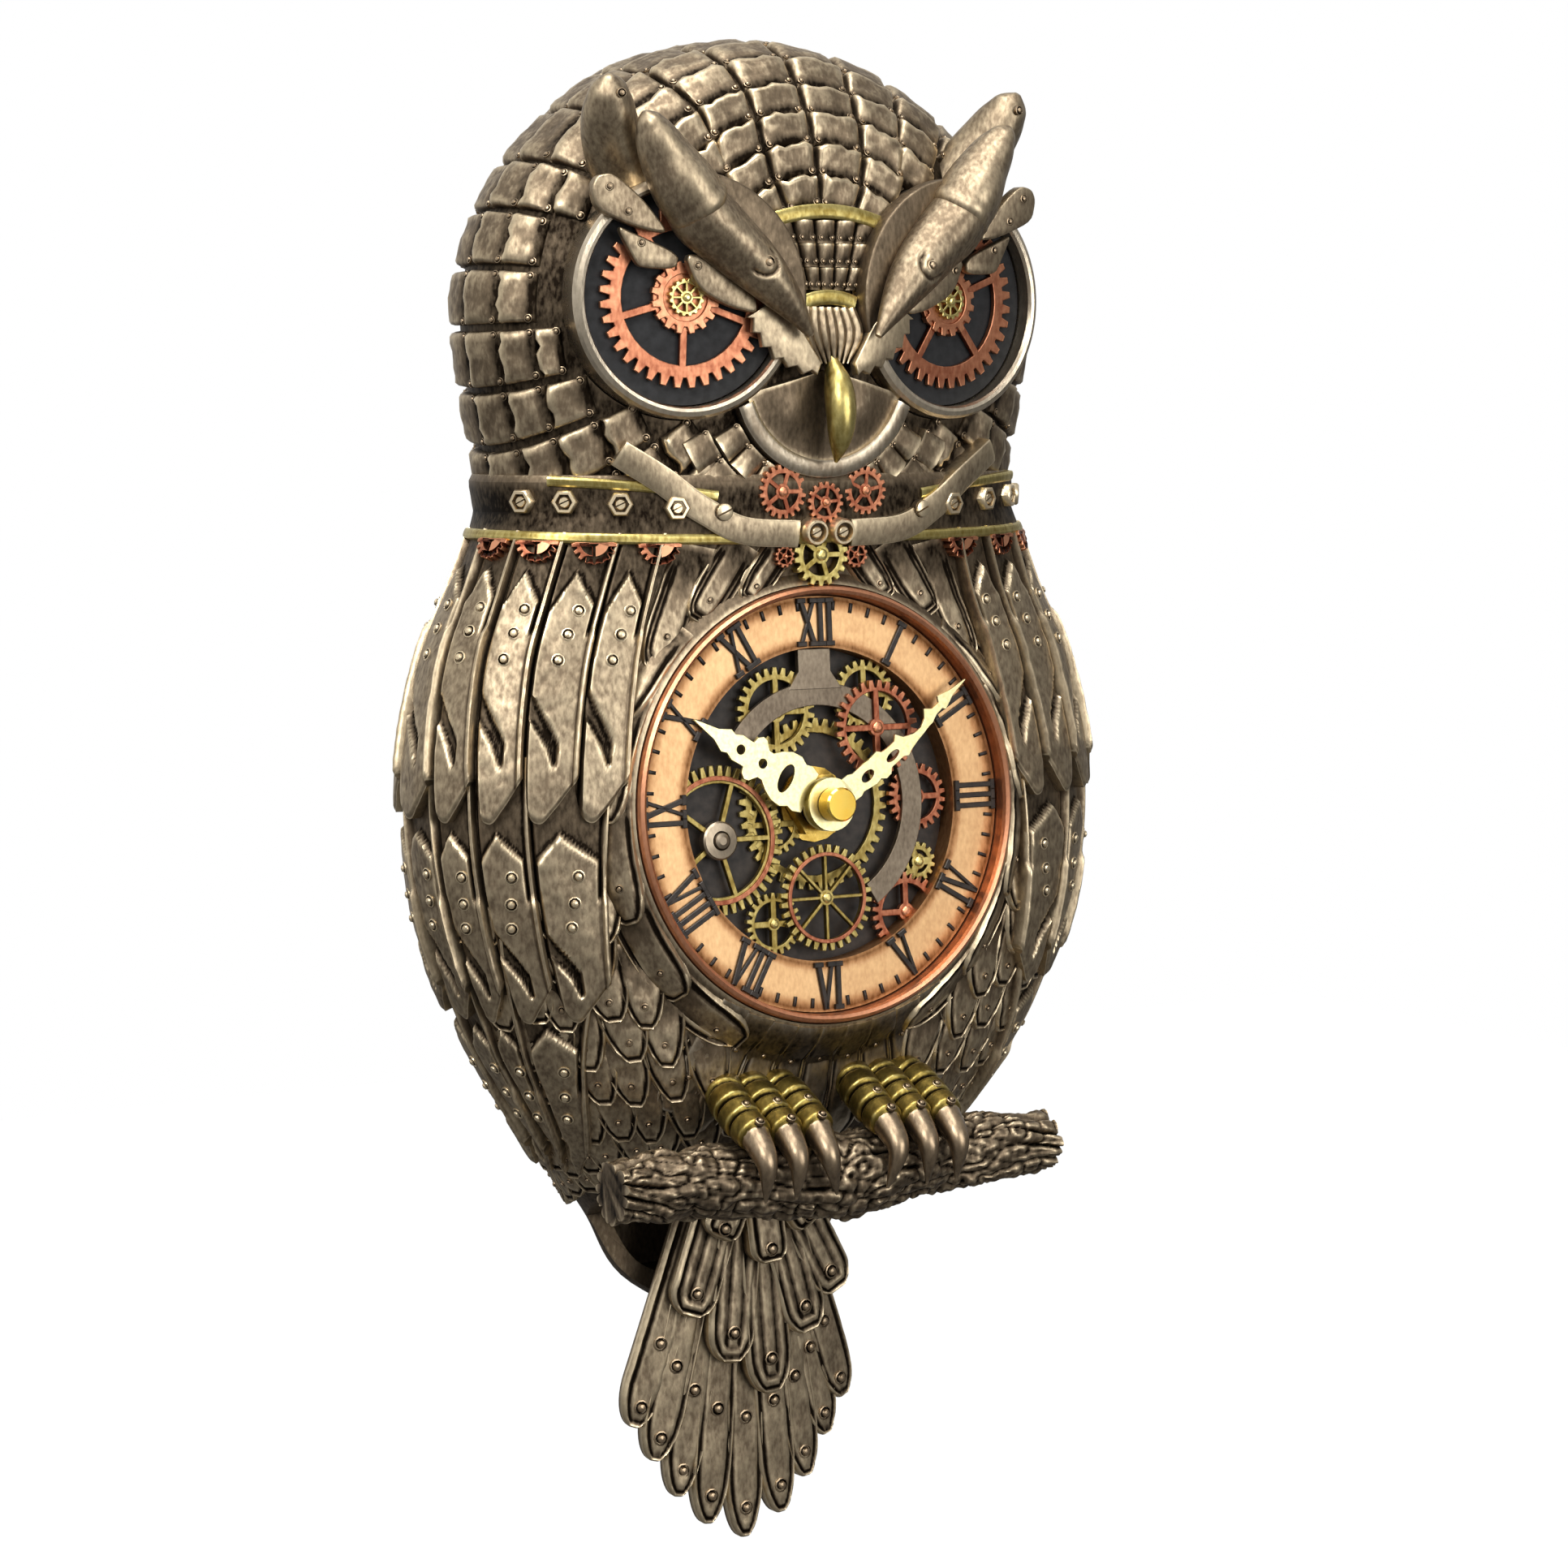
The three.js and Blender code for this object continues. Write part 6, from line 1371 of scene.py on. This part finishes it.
def build_dial():
    """Chapter ring with its numerals, bezel and ground, and the gears and the bridge inside it."""
    bezel, enamel, ground, grey, gold, copper = range(1, 7)
    build = Build()
    for hour, text in enumerate("XII I II III IV V VI VII VIII IX X XI".split()):
        numeral(build, text, hour, enamel)
    ticks = Studs()
    for minute in range(60):
        if minute % 5:
            a = math.radians(6 * minute)
            up = DIAL[1] * math.sin(a) + DIAL_UP * math.cos(a)
            ticks.add(DIAL_CENTRE + up * MARK_REACH, DIAL_OUT, 1.0, up)
    ticks.piece("dial_ticks", "Numeral enamel", "case", stud=tick)
    inner, outer = CHAPTER_RING
    r = np.linspace(inner, outer, 16)
    profile = np.concatenate([[(inner, -5.2)], np.stack([r, 0 * r], 1), [(outer, -5.2)]])
    burnt = np.maximum(smooth(42.5, outer, r), smooth(37.8, inner, r))
    shade = np.concatenate([[UNDERSIDE], 0.2 - 0.5 * burnt, [UNDERSIDE]])
    build.lathe(profile, DIAL, 128, np.repeat(shade, 128), ring=True)
    hoop = [(46.6, -6.5), (46.6, 2.8), (46.9, 3.7), (47.6, 4.2), (48.3, 3.7), (48.6, 2.8), (48.6, -6.5)]
    build.lathe(hoop, DIAL, 128, 0.12, bezel, ring=True)
    build.lathe([(5.2, -6.5), (outer, -6.5), (outer, -5.3), (34.8, -5.0), (5.2, -5.0)], DIAL, 96, 0, ground,
                ring=True)
    # Gears: middle, tip, teeth, inside of the rim, hub, spokes, back and face, finish
    below, between, above = (-4.6, -3.6), (-3.3, -2.0), (-1.7, -0.4)
    left_gear, lower_gear = (-25.9, -6.7), (0.5, -20.9)
    build.plate([toothed(19.3, 17.6, 44), circle(16)], -4.7, -3.7, DIAL, finish=gold)
    for at, tip, teeth, inside, hub, spokes, levels, finish in (
            ((-9.8, 20.9), 10, 26, 7.2, 2.4, 4, between, gold),
            ((13.3, 23.8), 8, 22, 5.6, 2.2, 4, between, gold),
            ((15.5, 16.4), 10.7, 28, 8.2, 2.0, 4, above, copper),
            (left_gear, 16.6, 44, 12.6, 4.2, 5, between, gold),
            ((-10.4, -4), 7, 20, 5, 1.8, 4, below, gold),
            (lower_gear, 11.9, 32, 9.3, 1.8, 8, above, gold),
            ((26.5, 0.3), 7.6, 22, 5.2, 2, 4, between, copper),
            ((26.2, -14.4), 4.5, 14, 2.6, 1.8, 3, between, gold),
            ((22.4, -25.5), 9, 26, 6.4, 2, 4, between, copper),
            ((-12.5, -26), 7, 22, 5, 1.6, 4, between, gold)):
        wheel(build, DIAL, at, tip, teeth, tip * 0.13 + 0.3, inside, hub, spokes, 6.4 / (spokes + 0.5),
              levels, finish)
    for at, large, small, level in ((left_gear, 14.3, 13.2, -1.9), (lower_gear, 10.2, 9.3, -0.3)):
        band = [circle(large, at, 48), circle(small, at, 48)]
        build.plate(band, level - 0.6, level + 0.3, DIAL, finish=copper)
    build.lathe([(4.3, -3), (4.3, -1.2), (3.9, -0.8), (2.2, -0.6), (2.0, -1.0), (1.7, -0.2), (0.9, 0.1)],
                set_at(DIAL, *left_gear), 32, 0.1, grey)
    bridge = [(27.2 * math.sin(a), 27.2 * math.cos(a)) for a in np.radians(np.linspace(-62, 148, 60))]
    bridge += [(22 * math.sin(a), 22 * math.cos(a)) for a in np.radians(np.linspace(148, -62, 60))]
    build.plate([bridge], -2.6, -1.2, DIAL, finish=grey)
    lug = [(-7, 25.6), (7, 25.6), (4.2, 29.6), (4.2, 34.6), (-4.2, 34.6), (-4.2, 29.6)]
    build.plate([lug], -2.5, -1.1, DIAL, finish=grey)
    build.piece("dial", ["Peach gold dial", "Rubbed copper", "Numeral enamel", "Brown ground", "Grey bronze",
                         "Old gold", "Rubbed copper"], "case",
                ["dial_bezel", "dial_plate", "dial_bridge", "dial_ring_gear", "dial_gear_upper",
                 "dial_gear_left", "dial_gear_lower", "dial_gear_right"], "dial_casting", 0.7, 12)


# Outlines of the hands: distance from the arbor, offset of the middle line, half width
HOUR_HAND = [
    (38.6, 0, 0.15), (32.3, 0, 1.3), (29.4, 0, 2.8), (28, 0, 2.3), (26.2, 0, 3.1), (24, 0, 3),
    (23, 0, 3), (22.6, 0, 4.4), (21.4, 0, 5.3), (20.2, 0, 5), (19.5, 0, 4.2), (18.6, 0, 3.3),
    (17.4, 0, 3.3), (15.6, 0, 4.8), (13.2, 0, 6), (10.6, 0, 6.2), (8.8, 0, 5.2), (7.2, 0, 5.6),
    (5, 0, 4.8)]
MINUTE_HAND = [
    (45.1, 0, 0.15), (40.5, 0, 0.65), (36.8, 0.2, 1.9), (36.2, 0.5, 0.8), (34, 0.6, 0.9),
    (32.2, 0.3, 2), (31, 1.2, 1.1), (29, 1.9, 0.75), (26.7, 2, 0.95), (24, 1.7, 1.8),
    (22.6, 1.1, 3), (21.4, 1.3, 2.1), (19.4, 1.3, 2.1), (17.4, 1.2, 2.2), (16.4, 1.2, 3.2),
    (14.8, 1.3, 3.2), (13.6, 0.9, 2.7), (12, 0.9, 2.9), (10, 0.7, 2.7), (8.3, 0.5, 2.5),
    (7.2, 0.4, 3), (5, 0.2, 3)]


def build_hands():
    """Hour and minute hand cut from sheet, and the nut that holds them."""
    cap = 1
    for name, stations, angle, levels, bore, eyelets in (
            ("hour", HOUR_HAND, -58.6, (1.2, 1.8), 2.6,
             ((25.2, 0, 1.1, 1.1), (18.8, 0, 1.1, 1.1), (12, 0, 1.7, 3.4))),
            ("minute", MINUTE_HAND, 54.2, (3.6, 4.2), 1.7, ((19.2, 1.5, 2, 0.9), (11.2, 0.9, 1.9, 1.1)))):
        build = Build()
        turn = math.radians(angle)
        ahead = np.array((math.sin(turn), math.cos(turn)))
        aside = np.array((math.cos(turn), -math.sin(turn)))
        r, middle, half = np.array(stations, float).T
        loops = [np.concatenate([np.stack([r, middle + half], 1), np.stack([r, middle - half], 1)[::-1]])]
        for at, off, long, wide in eyelets:
            loops.append(np.array(circle(1, count=20)) * (long, wide) + (at, off))
        outlines = [(loop[:, :1] * ahead + loop[:, 1:] * aside).tolist() for loop in loops]
        build.plate(outlines, *levels, DIAL, bevel=0.08)
        build.plate([circle(6), circle(bore)], *levels, DIAL, bevel=0.08)
        replaces = [f"{name}_hand"]
        if name == "minute":
            build.lathe([(3.8, 4.5), (3.8, 8.1), (3.4, 8.5)], DIAL, 40, finish=cap)
            replaces.append("hand_nut")
        build.piece(f"{name}_hand_dressed", ["Champagne aluminium", "Polished gold"], name, replaces,
                    "hand_aluminium", 1.0, 12)


# Material that stands for each material slot of the CAD nodes
SLOT_FINISHES = {
    "bronze_casting": "Antiqued bronze", "pale_bronze_casting": "Pale bronze", "gold_casting": "Rubbed gold",
    "dial_casting": "Peach gold dial", "copper_bezel": "Rubbed copper", "black_enamel": "Black ground",
    "copper_trim": "Rubbed copper", "brass_trim": "Brass", "hand_aluminium": "Champagne aluminium",
    "steel": "Zinc steel", "black_plastic": "Black plastic", "white_plastic": "White acetal",
    "rubber": "Rubber", "board": "Circuit board", "cell_jacket": "Cell jacket"}


def paint_movement():
    """Gives the CAD nodes that stay as they are the material of their slot."""
    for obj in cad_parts.values():
        for slot in obj.material_slots:
            slot.material = bpy.data.materials[SLOT_FINISHES[slot.material.name.split(".")[0]]]


def direct(tree):
    """1 for the rays that look straight at the background, from the camera or through glass."""
    path = node(tree, "ShaderNodeLightPath").outputs
    return node(tree, "ShaderNodeMath", [(0, path["Is Camera Ray"]), (1, path["Is Transmission Ray"])],
                operation="MAXIMUM").outputs[0]


# Stage, in millimetres, the camera fitted to the photo; a lamp has its width in metres and its power in watts
CAMERA_PLACE = (-463.5, -802.0, -34.0)
CAMERA_AIM = (-0.714, -40, -121.65)
CAMERA_LENS = 91.19
CAMERA_SENSOR = 36
LAMP_AIM = (0, -30, -120)
LAMPS = (("key_light", (-800, -700, 600), 0.5, 10.5), ("fill_light", (250, -1200, 150), 0.8, 8.5),
         ("top_light", (-100, -300, 900), 0.5, 8))
FLOOR_HEIGHT = -362
FLOOR_GLOW = 0.88


def aimed(obj, place, aim):
    """Links a lamp or the camera at a place, turned to face a point."""
    obj.location = Vector(place) * 0.001
    obj.rotation_euler = (Vector(aim) * 0.001 - obj.location).to_track_quat("-Z", "Y").to_euler()
    bpy.context.scene.collection.objects.link(obj)
    return obj


def light_room():
    """World that is white to look at, even for matt faces, and for metal a room that is darker below."""
    world = bpy.data.worlds.new("Studio")
    bpy.context.scene.world = world
    world.use_nodes = True
    tree = world.node_tree
    surface = tree.nodes["Background"]
    place = node(tree, "ShaderNodeTexCoord").outputs["Generated"]
    tilt = node(tree, "ShaderNodeVectorMath", [(0, place)], operation="DOT_PRODUCT")
    tilt.inputs[1].default_value = (-0.3, 0.3, 0.75)
    room = node(tree, "ShaderNodeMapRange", [("Value", tilt.outputs["Value"])], From_Min=-0.4, From_Max=0.9,
                To_Min=0.17, To_Max=1.05).outputs["Result"]
    glossy = node(tree, "ShaderNodeLightPath").outputs["Is Glossy Ray"]
    unseen = node(tree, "ShaderNodeMix", [("Factor", glossy), ("B", room)], A=0.6).outputs["Result"]
    strength = node(tree, "ShaderNodeMath", [(0, direct(tree)), (1, unseen)], operation="MAXIMUM").outputs[0]
    surface.inputs["Color"].default_value = (1, 1, 1, 1)
    tree.links.new(strength, surface.inputs["Strength"])


def lay_floor():
    """Pale floor that looks as white as the world behind it."""
    corners = ((-900, -700), (900, -700), (900, 900), (-900, 900))
    floor = Build()
    floor.add([(x, y, FLOOR_HEIGHT) for x, y in corners], [[0, 1, 2, 3]])
    floor_object = bpy.data.objects.new("floor", floor.mesh("floor"))
    paper = tinted("Pale paper", "#5A5A5A", "#626262", rough=0.9)
    tree = paper.node_tree
    glow = node(tree, "ShaderNodeMath", [(0, direct(tree))], operation="MULTIPLY")
    glow.inputs[1].default_value = FLOOR_GLOW
    shader = tree.nodes["Principled BSDF"]
    shader.inputs["Emission Color"].default_value = (1, 1, 1, 1)
    tree.links.new(glow.outputs[0], shader.inputs["Emission Strength"])
    floor_object.data.materials.append(paper)
    bpy.context.scene.collection.objects.link(floor_object)
    return floor_object


def build_stage():
    """World, floor, lamps and camera."""
    scene = bpy.context.scene
    scene.view_settings.view_transform = "Standard"
    light_room()
    floor_object = lay_floor()
    for name, place, size, power in LAMPS:
        light = bpy.data.lights.new(name, "AREA")
        light.size, light.energy = size, power
        aimed(bpy.data.objects.new(name, light), place, LAMP_AIM)
    lens = bpy.data.cameras.new("camera")
    lens.lens, lens.sensor_width = CAMERA_LENS, CAMERA_SENSOR
    camera = aimed(bpy.data.objects.new("camera", lens), CAMERA_PLACE, CAMERA_AIM)
    scene.camera = camera


class CastingSizes(bpy.types.PropertyGroup):
    """Sizes of the casting's relief"""
    groove: FloatProperty(name="Groove", description="Width of the grooves between the head's plates",
                          default=0.0009, unit="LENGTH")
    plate_rise: FloatProperty(name="Plate rise", description="How far a head plate's tip stands up",
                              default=0.0026, unit="LENGTH")
    feather_rise: FloatProperty(name="Feather rise", description="How far a wing feather's plate stands up",
                                default=0.0014, unit="LENGTH")
    hammer: FloatProperty(name="Hammering", description="Depth of the hammered dents",
                          default=0.0005, unit="LENGTH")
    rivet: FloatProperty(name="Rivet", description="Radius of the wing's rivets",
                         default=0.00125, unit="LENGTH")


def face_colour(name, description, code):
    """A property that holds a finish's colour."""
    return FloatVectorProperty(name=name, description=description, subtype="COLOR", size=4,
                               default=linear(code))


class FinishColours(bpy.types.PropertyGroup):
    """Colours of the cast finishes between their grooves and edges"""
    bronze: face_colour("Bronze", "Faces of the bronze castings", "#746552")
    dark_bronze: face_colour("Dark bronze", "Faces of the rivets and claws", "#493D31")
    pale_bronze: face_colour("Pale bronze", "Faces of the eye rings, the chin and the belly", "#8A7C69")
    gold: face_colour("Gold", "Faces of the beak, the feet and the trims", "#87743A")
    copper: face_colour("Copper", "Faces of the bezel and the copper gears", "#854A35")
    old_gold: face_colour("Old gold", "Faces of the dial's gears", "#86723C")
    dial: face_colour("Dial", "Face of the chapter ring", "#B1845A")
    grey_bronze: face_colour("Grey bronze", "Face of the dial's bridge", "#665A4C")


class OWL_OT_head(bpy.types.Operator):
    """Builds the head with its plates, bands, chin and beak"""
    bl_idname = "owl.head"
    bl_label = "Head"

    def execute(self, context):
        build_head(in_millimetres(context.scene.owl_casting))
        return {"FINISHED"}


class OWL_OT_brows(bpy.types.Operator):
    """Builds the two brow horns"""
    bl_idname = "owl.brows"
    bl_label = "Brows"

    def execute(self, context):
        build_brows()
        return {"FINISHED"}


class OWL_OT_eyes(bpy.types.Operator):
    """Builds the two eyes"""
    bl_idname = "owl.eyes"
    bl_label = "Eyes"

    def execute(self, context):
        build_eyes()
        return {"FINISHED"}


class OWL_OT_collar(bpy.types.Operator):
    """Builds the collar with its straps and gears"""
    bl_idname = "owl.collar"
    bl_label = "Collar"

    def execute(self, context):
        build_collar()
        return {"FINISHED"}


class OWL_OT_torso(bpy.types.Operator):
    """Builds the torso with its chest and flank feathers"""
    bl_idname = "owl.torso"
    bl_label = "Torso"

    def execute(self, context):
        build_torso(in_millimetres(context.scene.owl_casting))
        return {"FINISHED"}


class OWL_OT_wings(bpy.types.Operator):
    """Builds the two wings"""
    bl_idname = "owl.wings"
    bl_label = "Wings"

    def execute(self, context):
        build_wings(in_millimetres(context.scene.owl_casting))
        return {"FINISHED"}


class OWL_OT_perch(bpy.types.Operator):
    """Builds the branch and the feet on it"""
    bl_idname = "owl.perch"
    bl_label = "Perch and feet"

    def execute(self, context):
        build_perch()
        return {"FINISHED"}


class OWL_OT_tail(bpy.types.Operator):
    """Builds the tail that swings as the pendulum's bob"""
    bl_idname = "owl.tail"
    bl_label = "Tail"

    def execute(self, context):
        build_tail(in_millimetres(context.scene.owl_casting))
        return {"FINISHED"}


class OWL_OT_dial(bpy.types.Operator):
    """Builds the dial with its numerals and gears"""
    bl_idname = "owl.dial"
    bl_label = "Dial"

    def execute(self, context):
        build_dial()
        return {"FINISHED"}


class OWL_OT_hands(bpy.types.Operator):
    """Builds the hour and minute hands"""
    bl_idname = "owl.hands"
    bl_label = "Hands"

    def execute(self, context):
        build_hands()
        return {"FINISHED"}


class OWL_OT_movement(bpy.types.Operator):
    """Gives the movement and the hanger their materials"""
    bl_idname = "owl.movement"
    bl_label = "Movement"

    def execute(self, context):
        paint_movement()
        return {"FINISHED"}


class OWL_OT_stage(bpy.types.Operator):
    """Sets up the floor, the lamps and the camera"""
    bl_idname = "owl.stage"
    bl_label = "Stage"

    def execute(self, context):
        build_stage()
        return {"FINISHED"}


OPERATORS = (OWL_OT_head, OWL_OT_brows, OWL_OT_eyes, OWL_OT_collar, OWL_OT_torso, OWL_OT_wings, OWL_OT_perch,
             OWL_OT_tail, OWL_OT_dial, OWL_OT_hands, OWL_OT_movement, OWL_OT_stage)


class OWL_PT_panel(bpy.types.Panel):
    """Lists the pieces, their sizes and their colours"""
    bl_label = "Owl clock"
    bl_idname = "OWL_PT_panel"
    bl_space_type = "VIEW_3D"
    bl_region_type = "UI"
    bl_category = "Owl clock"

    def draw(self, context):
        for operator in OPERATORS:
            self.layout.operator(operator.bl_idname)
        for key in CastingSizes.__annotations__:
            self.layout.prop(context.scene.owl_casting, key)
        for key in FinishColours.__annotations__:
            self.layout.prop(context.scene.owl_finish, key)


CLASSES = (CastingSizes, FinishColours, *OPERATORS, OWL_PT_panel)


def register():
    """Registers the sizes, the operators and the panel."""
    for cls in CLASSES:
        bpy.utils.register_class(cls)
    bpy.types.Scene.owl_casting = PointerProperty(type=CastingSizes)
    bpy.types.Scene.owl_finish = PointerProperty(type=FinishColours)


def unregister():
    """Takes back what register did."""
    del bpy.types.Scene.owl_casting
    del bpy.types.Scene.owl_finish
    for cls in reversed(CLASSES):
        bpy.utils.unregister_class(cls)


def main():
    """Builds every piece and the stage."""
    register()
    make_materials(bpy.context.scene.owl_finish)
    for operator in OPERATORS:
        group, name = operator.bl_idname.split(".")
        getattr(getattr(bpy.ops, group), name)()


if __name__ == "__main__":
    main()
